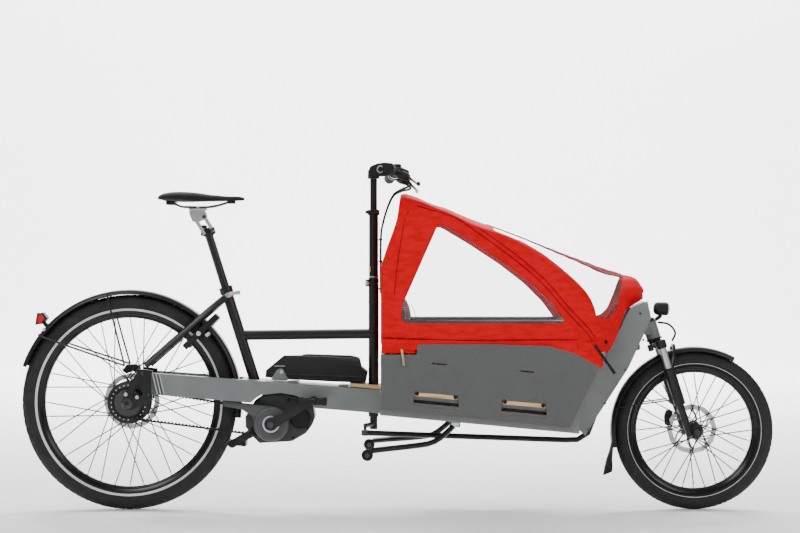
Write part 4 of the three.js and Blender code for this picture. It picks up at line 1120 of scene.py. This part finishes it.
cushion("bench_cushion", (0.066, 0, 0.4235), (0.292, 0, 0.402), 0.05, 0.196,
        [("along", 0.0), ("across", -0.33), ("across", 0.33)], TARTAN, "child_seat")
cushion("backrest_cushion", (0.036, 0, 0.455), (0.01, 0, 0.682), 0.056, 0.196,
        [("along", 0.0), ("across", -0.35), ("across", 0.3)], TARTAN)
bm = bmesh.new()
slab(bm, [(-0.0275, 0.4025), (0.287, 0.3725), (0.288, 0.378), (0.02, 0.4055), (0.0, 0.42), (-0.008, 0.676),
          (-0.0135, 0.676)], -0.19, 0.19)
piece("bench_board", bm, PLY, "frame", (), 40, 0.001)
bm = bmesh.new()
for seat in (-0.098, 0.098):
    for side in (-0.042, 0.042):
        path = smooth_path([(0.046, seat + side * 0.75, 0.655), (0.064, seat + side * 0.8, 0.6),
                            (0.0665, seat + side, 0.52), (0.087, seat + side * 0.9, 0.47),
                            (0.105, seat + side * 0.2, 0.4585)], 8)
        loops = []
        for i, p in enumerate(path):
            step = direction_at(path, i)
            up = Vector((-step.z, 0, step.x)).normalized()
            loops.append([p + Vector((0, 0.011, 0)) + up * 0.0009, p + Vector((0, -0.011, 0)) + up * 0.0009,
                          p + Vector((0, -0.011, 0)) - up * 0.0009, p + Vector((0, 0.011, 0)) - up * 0.0009])
        rings(bm, loops)
piece("child_harness", bm, WEBBING_AND_SLOT_SHADE, "frame", (), 60)
bm = bmesh.new()
for seat in (-0.098, 0.098):
    spun(bm, (0.107, seat, 0.4535), (0.109, seat, 0.4665),
         [(0, 0.021), (0.4, 0.0225), (0.8, 0.019), (1, 0.013)], 32)
piece("child_buckles", bm, PLASTIC, "frame", (), 40)

# ---------------------------------------------------------------- saddle
SADDLE = metres([(-760, 50, 1000, 986), (-752, 66, 1005, 982), (-740, 76, 1009, 979),
                 (-715, 81, 1013, 976.5), (-690, 80, 1014, 975), (-665, 72, 1013, 975),
                 (-640, 61, 1011, 976), (-590, 40, 1004, 978), (-540, 27, 1000, 980), (-515, 23, 999, 981),
                 (-500, 20, 998, 982), (-491, 15, 996, 984), (-488, 8, 993, 987)])


def saddle_at(x):
    i = max([k for k in range(len(SADDLE) - 1) if SADDLE[k][0] <= x] or [0])
    a, b = SADDLE[i], SADDLE[i + 1]
    t = (x - a[0]) / (b[0] - a[0])
    t = t * t * (3 - 2 * t) * 0.35 + t * 0.65
    return [p + (q - p) * t for p, q in zip(a[1:], b[1:])]


bm = bmesh.new()
loops = []
for i in range(91):
    x = -0.76 + 0.272 * (0.5 - 0.5 * math.cos(math.pi * i / 90))
    half, top, bottom = saddle_at(x)
    middle, loop = (top + bottom) / 2, []
    for k in range(48):
        a = 2 * math.pi * k / 48
        c, s = math.cos(a), math.sin(a)
        y = half * math.copysign(abs(c) ** 0.75, c)
        z = middle + (top - middle if s > 0 else (middle - bottom) * 0.8) * math.copysign(abs(s) ** 0.85, s)
        if s > 0:
            groove = min(1, max(0, (x + 0.745) * 20)) * min(1, max(0, (-0.52 - x) * 20))
            z -= 0.0042 * math.exp(-(y / 0.011) ** 2) * groove
            z += 0.0016 * math.exp(-((abs(y) - half * 0.55) / (half * 0.3)) ** 2)
        if s < 0:
            z += 0.005 * (1 - abs(c))
        loop.append((x, y, z))
    loops.append(loop)
rings(bm, loops)
saddle = piece("saddle_cover", bm, LEATHER, "saddle", ["saddle"], 60)
bm = bmesh.new()
for side in (-1, 1):
    path = []
    for i in range(30):
        x = -0.752 + 0.25 * i / 29
        half, top, bottom = saddle_at(x)
        path.append(Vector((x, side * half * 0.995, (top + bottom) / 2 + 0.0012)))
    rings(bm, [[p + Vector((0, side * 0.0007, 0.0011)), p + Vector((0, side * 0.0013, 0)),
                p + Vector((0, side * 0.0007, -0.0011)), p + Vector((0, -side * 0.002, 0))] for p in path])
piece("saddle_seam", bm, RUBBER, "saddle", (), 60)
RAIL = [(-722, 24, 984), (-692, 23, 968), (-660, 22, 966), (-610, 22, 965.5), (-570, 17, 972),
        (-530, 9, 985)]
wires("saddle_rails", [metres([(x, side * y, z) for x, y, z in RAIL]) for side in (-1, 1)], 0.0034,
      DARK_STEEL, "saddle", ())
bm = bmesh.new()
brick(bm, (-0.736, -0.038, 0.9725), (-0.708, 0.038, 0.9855))
brick(bm, (-0.543, -0.016, 0.9765), (-0.517, 0.016, 0.9865))
piece("saddle_shell_mounts", bm, PLASTIC, "saddle", (), 40, 0.003)

# ---------------------------------------------------------------- battery, seatpost and rear fittings
dress("battery", PLASTIC, 0.006)
bm = bmesh.new()
slab_pair(bm, metres([(-408, 437), (-398, 432.5), (-128, 424), (-112, 427), (-112, 431), (-128, 428.5),
                      (-398, 437), (-404, 441)]), 0.0425, 0.0446)
brick(bm, (-0.128, -0.0225, 0.4845), (-0.122, 0.0225, 0.4875))
piece("battery_trim", bm, GLOSS, "battery", (), 40, 0.0008)
bm = bmesh.new()
slab(bm, metres([(-300, 490.6), (-130, 485), (-127, 488), (-150, 492), (-290, 496.5), (-304, 494)]),
     -0.0155, 0.0155)
piece("battery_handle", bm, SATIN, "battery", (), 35, 0.004)
bm = bmesh.new()
for k in range(5):
    x = -0.389 + 0.007 * k
    brick(bm, (x, -0.0447, 0.4585), (x + 0.0045, -0.0405, 0.4605))
piece("battery_charge_lights", bm, CLEAR_LENS, "battery", (), 40)
bm = bmesh.new()
for x in (-0.33, -0.17):
    z = 0.386 - 0.0737 * (x + 0.05)
    brick(bm, (x - 0.016, -0.047, z - 0.001), (x + 0.016, 0.047, z + 0.0045))
piece("battery_bracket", bm, GREY, "frame", (), 40, 0.001)
bm = bmesh.new()
slab_pair(bm, rounded(metres([(-402, 416), (-380, 450), (-364, 453), (-344, 413)]), 0.006), 0.0446, 0.0462)
piece("battery_side_lugs", bm, GREY, "battery", (), 40, 0.0005)
bm = bmesh.new()
bolt_pair(bm, -0.367, 0.4405, 0.0458, 0.0498, 0.0062)
piece("battery_lug_bolts", bm, STEEL, "battery", (), 30)


def on_seat_tube(t, y=0.0):
    s, c = math.sin(RAKE), math.cos(RAKE)
    return Vector((-0.457 - t * s, y, 0.417 + t * c))


bm = bmesh.new()
spun(bm, on_seat_tube(0.272), on_seat_tube(0.296),
     [(0, 0.0186), (0.06, 0.0196), (0.3, 0.0196), (0.36, 0.0186), (0.62, 0.0186), (0.68, 0.0196),
      (0.95, 0.0196), (1, 0.0168)], 48)
spun(bm, on_seat_tube(0.284, -0.03), on_seat_tube(0.284, 0.026), [(0, 0.0042), (0.9, 0.0042), (1, 0.003)], 16)
piece("seat_clamp", bm, ALLOY, "frame", (), 35)
path = smooth_path([on_seat_tube(0.284, -0.028), on_seat_tube(0.286, -0.034) + Vector((0.012, 0, 0)),
                    on_seat_tube(0.29, -0.0335) + Vector((0.03, 0, -0.002)),
                    on_seat_tube(0.296, -0.032) + Vector((0.047, 0, -0.006))], 8)
bm = bmesh.new()
loops = []
for i, p in enumerate(path):
    step = direction_at(path, i)
    up = Vector((-step.z, 0, step.x)).normalized()
    wide, thin = 0.0062 * (0.75 + 0.4 * i / len(path)), 0.0024
    loops.append([p + up * (wide * math.cos(a)) + Vector((0, thin * math.sin(a), 0))
                  for a in (2 * math.pi * k / 14 for k in range(14))])
rings(bm, loops)
piece("seat_clamp_lever", bm, ALLOY, "frame", (), 60)

bm = bmesh.new()
for x, z in ((-0.59, 0.893), (-0.616, 0.935)):
    spun_pair(bm, (x, 0.0182, z), (x, 0.0212, z),
              [(0, 0.0062), (0.55, 0.0062), (0.85, 0.005), (1, 0.003)], 20)
piece("link_pin_caps", bm, DARK_STEEL, "link_front", (), 40)
bm = bmesh.new()
block = []
for t in range(7):
    f = t / 6
    bulge = 0.0035 * math.sin(math.pi * f)
    low, high = Vector((-0.6085, 0, 0.9005)), Vector((-0.6245, 0, 0.905))
    centre = low.lerp(high, f)
    loop = []
    for k in range(20):
        a = 2 * math.pi * k / 20
        loop.append(centre + Vector((0.006 * math.sin(a) * 0.4, (0.0075 + bulge * 0.3) * math.cos(a),
                                     (0.0044 + bulge * 0.4) * math.sin(a))))
    block.append(loop)
rings(bm, block)
piece("elastomer_block", bm, RUBBER, "seatpost", (), 50)
bm = bmesh.new()
spun(bm, (-0.6355, -0.026, 0.9635), (-0.6355, 0.026, 0.9635),
     [(0, 0.0052), (0.06, 0.0058), (0.94, 0.0058), (1, 0.0052)], 20)
for side in (-1, 1):
    brick(bm, (-0.664, side * 0.0225 - 0.0065, 0.9555), (-0.609, side * 0.0225 + 0.0065, 0.9615))
piece("saddle_clamp", bm, ALLOY, "saddle", (), 40, 0.0014)

# Rear light: a dark housing with its red window, on a bracket.
bm = bmesh.new()
slab(bm, metres([(-1152, 590), (-1146, 626), (-1130, 630), (-1116, 611), (-1130, 593)]), -0.024, 0.024)
spun(bm, (-1.132, 0, 0.598), polar(REAR, 0.3598, 137.5), [(0, 0.006), (1, 0.0075)], 16)
piece("rear_light_housing", bm, PLASTIC, "frame", ["rear_light"], 30, 0.003)
bm = bmesh.new()
slab(bm, metres([(-1155, 590), (-1149, 628), (-1145, 629), (-1147, 609), (-1150, 589)]), -0.022, 0.022)
slab_pair(bm, metres([(-1148, 593), (-1143, 621), (-1133, 624), (-1124, 611), (-1134, 596)]), 0.0236, 0.0252)
piece("rear_light_lens", bm, RED_LENS, "frame", (), 30, 0.001)
bm = bmesh.new()
spun_pair(bm, polar(REAR, 0.3555, 139, 0.0375), polar(REAR, 0.3555, 139, 0.0395),
          [(0, 0.0052), (0.6, 0.0052), (1, 0.003)], 16)
piece("fender_stay_screws", bm, STEEL, "frame", (), 40)

# ---------------------------------------------------------------- lock and brakes
bm = bmesh.new()
spun_pair(bm, polar(REAR, 0.316, 44.3, 0.0665), polar(REAR, 0.316, 44.3, 0.0695),
          [(0, 0.0072), (0.6, 0.0072), (1, 0.005)], 20)
spun(bm, polar(REAR, 0.335, 41.3, -0.058), polar(REAR, 0.3345, 39.6, -0.0585),
     [(0, 0.0085), (0.7, 0.0085), (1, 0.0068)], 24)
piece("lock_screws_and_key", bm, STEEL, "frame", (), 40)
bm = bmesh.new()
slab(bm, metres([(-884, 440), (-872, 458), (-842, 462), (-828, 452), (-826, 436), (-838, 428), (-852, 441),
                 (-872, 432)]),
     0.0415, 0.0472)
slab(bm, metres([(-886, 438), (-873, 460), (-841, 462), (-826, 450), (-828, 434), (-838, 426), (-850, 438),
                 (-874, 430)]),
     0.0528, 0.0595)
slab(bm, metres([(-868, 449), (-846, 451), (-840, 460), (-868, 459)]), 0.0465, 0.0535)
spun(bm, (-0.869, 0.0595, 0.445), (-0.869, 0.0655, 0.445),
     [(0, 0.0125), (0.5, 0.0125), (0.8, 0.0105), (1, 0.006)], 28)
spun(bm, (-0.842, 0.0595, 0.448), (-0.842, 0.0645, 0.448), [(0, 0.0095), (0.5, 0.0095), (1, 0.006)], 24)
piece("rear_caliper_body", bm, PLASTIC, "frame", ["rear_caliper"], 30, 0.0022)
bm = bmesh.new()
for x, z in ((-0.884, 0.444), (-0.832, 0.457)):
    bolt(bm, (x, 0.0592, z), (x, 0.0642, z), 0.0042)
piece("rear_caliper_bolts", bm, STEEL, "frame", (), 35)
bm = bmesh.new()
slab(bm, metres([(862, 268), (860, 292), (866, 312), (878, 317), (887, 308), (884, 296), (876, 284),
                 (880, 268), (872, 262)]), 0.0355, 0.0382)
slab(bm, metres([(862, 270), (860, 292), (866, 312), (878, 316), (887, 307), (884, 296), (875, 284),
                 (879, 270), (871, 264)]), 0.0438, 0.0512)
slab(bm, metres([(861, 288), (866, 311), (874, 314), (868, 290)]), 0.0375, 0.0442)
spun(bm, (0.8705, 0.0508, 0.278), (0.8705, 0.0552, 0.278), [(0, 0.0092), (0.5, 0.0092), (1, 0.006)], 28)
spun(bm, (0.8735, 0.0508, 0.301), (0.8735, 0.0552, 0.301), [(0, 0.0092), (0.5, 0.0092), (1, 0.006)], 28)
piece("front_caliper_body", bm, PLASTIC, "lowers", ["front_caliper"], 30, 0.0018)
bm = bmesh.new()
slab(bm, metres([(884, 300), (893, 279), (897, 281), (888, 303)]), 0.0438, 0.0478)
piece("front_caliper_accents", bm, ACCENT, "lowers", (), 35, 0.0006)

# ---------------------------------------------------------------- cockpit
column = COLUMN_X
bm = bmesh.new()
spun(bm, (column, 0, 0.7405), (column, 0, 0.7455), [(0, 0.0155), (0.2, 0.0176), (0.8, 0.0176), (1, 0.0155)],
     48)
spun_pair(bm, (STEM_PIVOT_X, 0.0236, STEM_PIVOT_Z), (STEM_PIVOT_X, 0.0262, STEM_PIVOT_Z),
          [(0, 0.0118), (0.8, 0.0118), (1, 0.0112), (1, 0.0086), (0.4, 0.0082)], 40)
piece("column_bright_ring", bm, STEEL, "column", (), 35)
bm = bmesh.new()
spun_pair(bm, (STEM_PIVOT_X, 0.0205, STEM_PIVOT_Z), (STEM_PIVOT_X, 0.0245, STEM_PIVOT_Z),
          [(0, 0.0162), (0.5, 0.0162), (1, 0.0145)], 40)
spun_pair(bm, (STEM_PIVOT_X, 0.024, STEM_PIVOT_Z), (STEM_PIVOT_X, 0.0257, STEM_PIVOT_Z),
          [(0, 0.008), (0.7, 0.008), (1, 0.0062)], 28)
piece("stem_pivot_caps", bm, SATIN, "bar_set", (), 35)
bm = bmesh.new()
outline = metres([(-89, 1062), (-90, 1088), (-84, 1097), (-60, 1106), (-38, 1108), (-14, 1106), (-6, 1092),
                  (-8, 1072), (-24, 1066), (-60, 1064)])
slab_pair(bm, rounded(outline, 0.006), 0.0165, 0.0202)
piece("stem_side_cheeks", bm, SATIN, "bar_set", (), 35, 0.001)
bm = bmesh.new()
turns = [math.radians(132 + 8 * k) for k in range(13)]
patch = [(0.0157, a) for a in turns] + [(0.0149, a) for a in reversed(turns)]
rings(bm, [[(column + r * math.cos(a), r * math.sin(a), z) for r, a in patch] for z in (0.759, 0.777)])
piece("column_yellow_mark", bm, ACCENT, "column", (), 40)
bm = bmesh.new()
spun(bm, (column, 0, 0.9415), (column, 0, 0.9575),
     [(0, 0.0178), (0.06, 0.0192), (0.3, 0.0192), (0.36, 0.0184), (0.62, 0.0184), (0.68, 0.0192),
      (0.94, 0.0192), (1, 0.0178)], 48)
spun(bm, (column - 0.012, -0.024, 0.9495), (column - 0.012, 0.022, 0.9495),
     [(0, 0.0042), (0.9, 0.0042), (1, 0.003)], 16)
brick(bm, (column - 0.026, -0.0245, 0.9445), (column + 0.0155, -0.0195, 0.9545))
piece("column_collar", bm, SATIN, "column", (), 35, 0.001)
bm = bmesh.new()
brick(bm, (column - 0.0265, -0.0125, 0.7125), (column - 0.0155, 0.0125, 0.7345))
piece("column_clamp_ears", bm, SATIN, "frame", (), 35, 0.0016)
bm = bmesh.new()
spun_pair(bm, (column - 0.021, 0.0122, 0.7235), (column - 0.021, 0.0165, 0.7235),
          [(0, 0.0068), (0.7, 0.0068), (1, 0.0048)], 24)
piece("column_clamp_bolts", bm, STEEL, "frame", (), 35)
bm = bmesh.new()
for z in (0.35, 0.41, 0.66):
    spun(bm, (column, 0, z), (column, 0, z + 0.004),
         [(0, 0.0168), (0.3, 0.0176), (0.7, 0.0176), (1, 0.0168)], 40)
piece("column_tube_rings", bm, SATIN, "frame", (), 40)


def along_grip(t, side):
    return Vector((-0.015 - 0.011 * t, side * (0.19 + 0.145 * t), 1.076 - 0.004 * t))


for side, name in ((-1, "right"), (1, "left")):
    bm = bmesh.new()
    profile = [(0, 0.0121), (0.002, 0.0185), (0.03, 0.0185), (0.035, 0.0158)]
    for k in range(22):
        t = 0.05 + 0.038 * k
        profile += [(t, 0.0158), (t + 0.008, 0.0169), (t + 0.026, 0.0169), (t + 0.034, 0.0158)]
    profile += [(0.93, 0.0162), (0.96, 0.0182), (0.995, 0.0182), (1, 0.0165)]
    start, end = along_grip(0.12, side), along_grip(1.02, side)
    spun(bm, start, end, [(t, r) for t, r in profile if t <= 1], 40)
    piece(f"grip_{name}_ribbed", bm, RUBBER, "bar_set", [f"grip_{name}"], 30)
    bm = bmesh.new()
    for t in (0.105, 0.005):
        a, b = along_grip(t, side), along_grip(t + 0.03, side)
        spun(bm, a, b, [(0, 0.0162), (0.15, 0.0172), (0.85, 0.0172), (1, 0.0162)], 36)
    piece(f"lever_clamp_{name}", bm, SATIN, "bar_set", (), 35)
    bm = bmesh.new()
    path = smooth_path(metres([(31, side * 177, 1058), (50, side * 205, 1042), (62, side * 250, 1032),
                               (66, side * 306, 1028)]), 12)
    loops = []
    for i, p in enumerate(path):
        step = direction_at(path, i)
        flat = step.cross(Vector((0, 0, 1))).normalized()
        up = flat.cross(step)
        f = i / (len(path) - 1)
        wide, tall = 0.0042 + 0.0012 * f, 0.0054 - 0.0014 * math.sin(math.pi * f)
        if f > 0.93:
            wide, tall = wide + 0.0006, tall + 0.0016
        loops.append([p + flat * (wide * math.cos(a)) + up * (tall * math.sin(a))
                      for a in (2 * math.pi * k / 20 for k in range(20))])
    rings(bm, loops)
    spun(bm, (0.031, side * 0.177, 1.051), (0.031, side * 0.177, 1.0655),
         [(0, 0.0062), (0.1, 0.0068), (0.9, 0.0068), (1, 0.0062)], 20)
    piece(f"brake_lever_{name}_blade", bm, SATIN, f"brake_lever_{name}", [f"brake_lever_{name}"],
          50)
    bm = bmesh.new()
    spun(bm, (0.0, side * 0.178, 1.067), (0.04, side * 0.1735, 1.0515),
         [(0, 0.0105), (0.1, 0.0132), (0.45, 0.0142), (0.8, 0.0125), (1, 0.0085)], 28)
    spun(bm, (0.006, side * 0.1765, 1.078), (0.034, side * 0.158, 1.0665),
         [(0, 0.0085), (0.1, 0.0102), (0.9, 0.0102), (1, 0.0075)], 24)
    spun(bm, (0.03, side * 0.1735, 1.0565), (0.029, side * 0.162, 1.0515),
         [(0, 0.0062), (0.8, 0.0055), (1, 0.0036)], 20)
    piece(f"lever_body_{name}", bm, PLASTIC, "bar_set", (), 40)
bm = bmesh.new()
slab(bm, metres([(-32, 1091), (12, 1093), (16, 1098), (10, 1103), (-30, 1100.5), (-36, 1096)]), -0.031,
     0.031)
slab(bm, metres([(-22, 1084), (2, 1086), (4, 1092.5), (-24, 1091)]), -0.012, 0.012)
piece("ride_display", bm, PLASTIC, "bar_set", (), 35, 0.003)
bm = bmesh.new()
slab(bm, metres([(-29, 1100.9), (8, 1103.3), (8.5, 1104), (-29.5, 1101.7)]), -0.026, 0.026)
piece("ride_display_glass", bm, GLOSS, "bar_set", (), 35, 0.0008)
bm = bmesh.new()
for side, reach in ((-1, 0.158), (1, 0.15)):
    a = Vector((-0.0122, side * (reach - 0.012), 1.076))
    b = Vector((-0.0136, side * (reach + 0.01), 1.076))
    spun(bm, a, b, [(0, 0.0125), (0.1, 0.0165), (0.9, 0.0165), (1, 0.0125)], 32)
    spun(bm, (-0.012, side * reach, 1.071), (0.016, side * reach, 1.061),
         [(0, 0.0085), (0.7, 0.0105), (0.95, 0.0095), (1, 0.007)], 24)
piece("shifter_and_switch", bm, PLASTIC, "bar_set", (), 35)
bm = bmesh.new()
spun(bm, (-0.012, 0.088, 1.0905), (-0.012, 0.088, 1.1005),
     [(0, 0.0142), (0.25, 0.0155), (0.7, 0.0142), (0.92, 0.008), (1, 0.003)], 40)
spun(bm, (-0.012, 0.078, 1.076), (-0.012, 0.098, 1.076),
     [(0, 0.0122), (0.1, 0.0135), (0.9, 0.0135), (1, 0.0122)], 28)
piece("bell", bm, STEEL, "bar_set", (), 40)

# Two brake cables bow forward from the levers and run down the column; a hose joins the fork to the fender.
CABLE = [(27, 170, 1049), (44, 140, 1031), (15, 82, 1020), (-10, 42, 1005), (-28, 17, 970), (-44, 5, 918),
         (-51.8, 4.2, 862), (-51.8, 4.2, 690)]
HOSE = [(886, 40, 536), (895, 38, 564), (874, 36, 590), (838, 30, 597)]


def cable(name, path, body, replaces):
    line = smooth_path(path, 12)
    made = wires(name, [line], 0.0036, RUBBER, body, replaces, 0, 5)


for side, name in ((-1, "right"), (1, "left")):
    cable(f"brake_cable_{name}", metres([(x, side * y, z) for x, y, z in CABLE]), "bar_set",
          ["bar_cables"] if side < 0 else ())
cable("front_brake_hose", metres(HOSE), "lowers", ["brake_hose"])
bm = bmesh.new()
for z in (0.702, 0.79, 0.86):
    spun(bm, (-0.0529, 0, z), (-0.0529, 0, z + 0.0055),
         [(0, 0.0056), (0.2, 0.0062), (0.8, 0.0062), (1, 0.0056)], 20)
piece("cable_clips", bm, PLASTIC, "bar_set", (), 40)

# ---------------------------------------------------------------- fork and headlight
def on_leg(u):
    """A point up the left fork leg's own axis."""
    return on_steer(u, LEG_FORWARD, LEG_SIDE)


bm = bmesh.new()
spun_pair(bm, on_leg(0.2175), on_leg(0.2835), [(0, 0.01225), (1, 0.01225)], 40)
piece("fork_bright_stanchions", bm, STEEL, "fork", (), 40)
bm = bmesh.new()
spun_pair(bm, on_leg(0.2115), on_leg(0.2175),
          [(0, 0.0128), (0, 0.0182), (0.3, 0.0186), (0.7, 0.0172), (1, 0.0145), (1, 0.0128)], 40, hollow=True)
spun_pair(bm, on_leg(0.119), on_leg(0.125),
          [(0, 0.0128), (0, 0.0176), (0.3, 0.0183), (0.7, 0.0183), (1, 0.0176), (1, 0.0128)], 40, hollow=True)
piece("fork_wiper_seals", bm, RUBBER, "lowers", (), 40)
bm = bmesh.new()
spun_pair(bm, on_leg(0.3055), on_leg(0.3115), [(0, 0.0168), (0.4, 0.0168), (0.7, 0.0148), (1, 0.009)], 36)
piece("fork_leg_caps", bm, SATIN, "fork", (), 40)
bm = bmesh.new()
spun_pair(bm, on_steer(0, 0.033, 0.0722), on_steer(0, 0.033, 0.0782),
          [(0, 0.0098), (0.2, 0.0105), (0.7, 0.0105), (1, 0.008), (0.6, 0.0052)], 6)
spun_pair(bm, on_leg(-0.006), on_leg(-0.0125), [(0, 0.0108), (0.5, 0.0098), (1, 0.006)], 24)
piece("front_axle_nuts", bm, DARK_STEEL, "lowers", (), 35)
bm = bmesh.new()
spun(bm, (0.8662, 0, 0.6401), (0.8728, 0, 0.6398), [(0, 0.0182), (0.4, 0.0182), (0.8, 0.0142), (1, 0.0065)],
     48)
piece("headlight_lens", bm, CLEAR_LENS, "frame", (), 50)
bm = bmesh.new()
spun(bm, (0.8205, 0, 0.6422), (0.8662, 0, 0.6401),
     [(0, 0.009), (0.05, 0.0155), (0.16, 0.0195), (0.3, 0.0212), (0.34, 0.0212), (0.36, 0.0205),
      (0.4, 0.0205), (0.42, 0.0212), (0.9, 0.0216), (0.97, 0.0212), (1, 0.0188)], 56)
slab(bm, metres([(838, 626), (850, 626), (846, 612), (822, 596), (806, 588), (803, 596), (824, 610),
                 (836, 620)]),
     -0.006, 0.006)
piece("headlight_housing", bm, PLASTIC, "frame", ["headlight"], 40, 0.0012)
bm = bmesh.new()
spun(bm, on_steer(0.3125), on_steer(0.3185), [(0, 0.0255), (0.3, 0.0265), (0.8, 0.0265), (1, 0.0245)], 48)
spun(bm, on_steer(0.3728), on_steer(0.3765), [(0, 0.0245), (0.3, 0.0262), (0.8, 0.0262), (1, 0.0225)], 48)
piece("headset_cups", bm, BLACK, "frame", (), 40)

# ---------------------------------------------------------------- stand, steering rod and box fittings
bm = bmesh.new()
spun_pair(bm, (STAND_FOOT_X, 0.1765, STAND_FOOT_Z), (STAND_FOOT_X, 0.2045, STAND_FOOT_Z),
          [(0, 0.0148), (0.08, 0.0178), (0.4, 0.0182), (0.92, 0.0178), (1, 0.0148)], 40)
piece("stand_rubber_feet", bm, RUBBER, "stand", (), 40)
bm = bmesh.new()
for near, far in ((0.1755, 0.1733), (0.2045, 0.2067)):
    spun_pair(bm, (STAND_FOOT_X, near, STAND_FOOT_Z), (STAND_FOOT_X, far, STAND_FOOT_Z),
              [(0, 0.0072), (0.6, 0.0072), (1, 0.0062), (1, 0.0042), (0.5, 0.0038)], 28)
piece("stand_foot_bolts", bm, DARK_STEEL, "stand", (), 40)
bm = bmesh.new()
spun_pair(bm, (0.183, 0.1302, 0.284), (0.183, 0.1352, 0.284), [(0, 0.0125), (0.5, 0.0125), (1, 0.0085)], 24)
piece("stand_pivot_caps", bm, STEEL, "stand", (), 40)
bm = bmesh.new()
for x, z in ((-0.101, 0.2495), (0.758, 0.521)):
    spun(bm, (x, -0.064, z - 0.0095), (x, -0.064, z + 0.0085),
         [(0, 0.0105), (0.1, 0.0125), (0.9, 0.0125), (1, 0.0105)], 28)
piece("steering_rod_eyes", bm, DARK_STEEL, "tie_rod", (), 40)


def box_bottom(x):
    return 0.334 - 0.0932 * (x + 0.05)


# A thin black plate at the inner face of each slot stands for the dark cavity behind it: painted shade.
bm, edge = bmesh.new(), bmesh.new()
for x_low, x_high in BOX_SLOTS:
    ends = [(x, box_bottom(x)) for x in (x_low + 0.0006, x_high - 0.0006)]
    foot = [(x, z + 0.0225) for x, z in ends]
    slab_pair(bm, foot + [(x, z + 0.0405) for x, z in reversed(ends)], 0.2284, 0.2296)
    slab_pair(edge, foot + [(x, z + 0.0305) for x, z in reversed(ends)], 0.2297, 0.2399)
    for x in (x_low + 0.011, x_high - 0.011):
        z = box_bottom(x) + 0.0605
        spun_pair(bm, (x, 0.2392, z), (x, 0.2404, z), [(0, 0.0066), (1, 0.0066)], 24)
piece("slot_painted_shade", bm, WEBBING_AND_SLOT_SHADE, "frame", (), 40)
piece("slot_lower_edges", edge, BOARD, "frame", (), 40, 0.0005)
bm = bmesh.new()
for x, z in ((0.604, 0.262), (0.655, 0.345), (0.72, 0.45), (0.775, 0.545), (0.766, 0.628)):
    bolt_pair(bm, x, z, 0.1058, 0.1084, 0.0042)
piece("cheek_bolts", bm, GREY_DARK, "frame", (), 40)

# ---------------------------------------------------------------- floor and light
floor_mesh = bpy.data.meshes.new("studio_floor")
studio = bmesh.new()
profile = [(-11.0, 0.0)] + [(y, 0.0) for y in (-4, 0, 4, 9)]
for k in range(1, 13):
    a = math.pi / 2 * k / 12
    profile.append((9 + 3.0 * math.sin(a), 3.0 * (1 - math.cos(a))))
profile.append((12.0, 12.0))
rings(studio, [[(x, y, z - 0.0004) for y, z in profile] for x in (-18.0, 18.0)], closed_round=False,
      ends=False)
bmesh.ops.recalc_face_normals(studio, faces=studio.faces)
studio.to_mesh(floor_mesh)
studio.free()
floor = bpy.data.objects.new("studio_floor", floor_mesh)
bpy.context.scene.collection.objects.link(floor)
floor_mesh.polygons.foreach_set("use_smooth", [True] * len(floor_mesh.polygons))
g = Graph("pale_floor")
g.rough(g.noise(2), 0.85, 0.95)
floor_mesh.materials.append(g.finish(g.ramp(g.noise(1.2),
                                            [(0.2, (0.93, 0.93, 0.93)), (0.8, (0.95, 0.95, 0.95))])))


def area_light(name, place, target, size, power):
    data = bpy.data.lights.new(name, "AREA")
    data.shape = "RECTANGLE"
    data.size, data.size_y = size
    data.energy = power
    made = bpy.data.objects.new(name, data)
    bpy.context.scene.collection.objects.link(made)
    made.location = place
    made.rotation_euler = (Vector(target) - Vector(place)).to_track_quat("-Z", "Y").to_euler()


area_light("key_light", (-3.0, -4.5, 4.6), (0, 0, 0.5), (3.0, 2.2), 175)
area_light("fill_light", (3.6, -4.2, 3.0), (0.3, 0, 0.5), (2.6, 2.0), 85)
area_light("top_light", (0, 0.4, 5.0), (0, 0, 0.4), (4.5, 2.2), 95)
for side in (-1, 1):
    area_light(f"backdrop_light_{side}", (side * 4.0, 6.2, 7.0), (side * 1.9, 11.6, 1.4), (4.5, 1.8), 1800)
area_light("floor_light", (0, 3.4, 4.8), (0, 2.2, 0), (7.0, 2.0), 260)
world = bpy.data.worlds.new("studio_world")
bpy.context.scene.world = world
world.use_nodes = True
world.node_tree.nodes["Background"].inputs["Color"].default_value = (1, 1, 1, 1)
world.node_tree.nodes["Background"].inputs["Strength"].default_value = 0.3
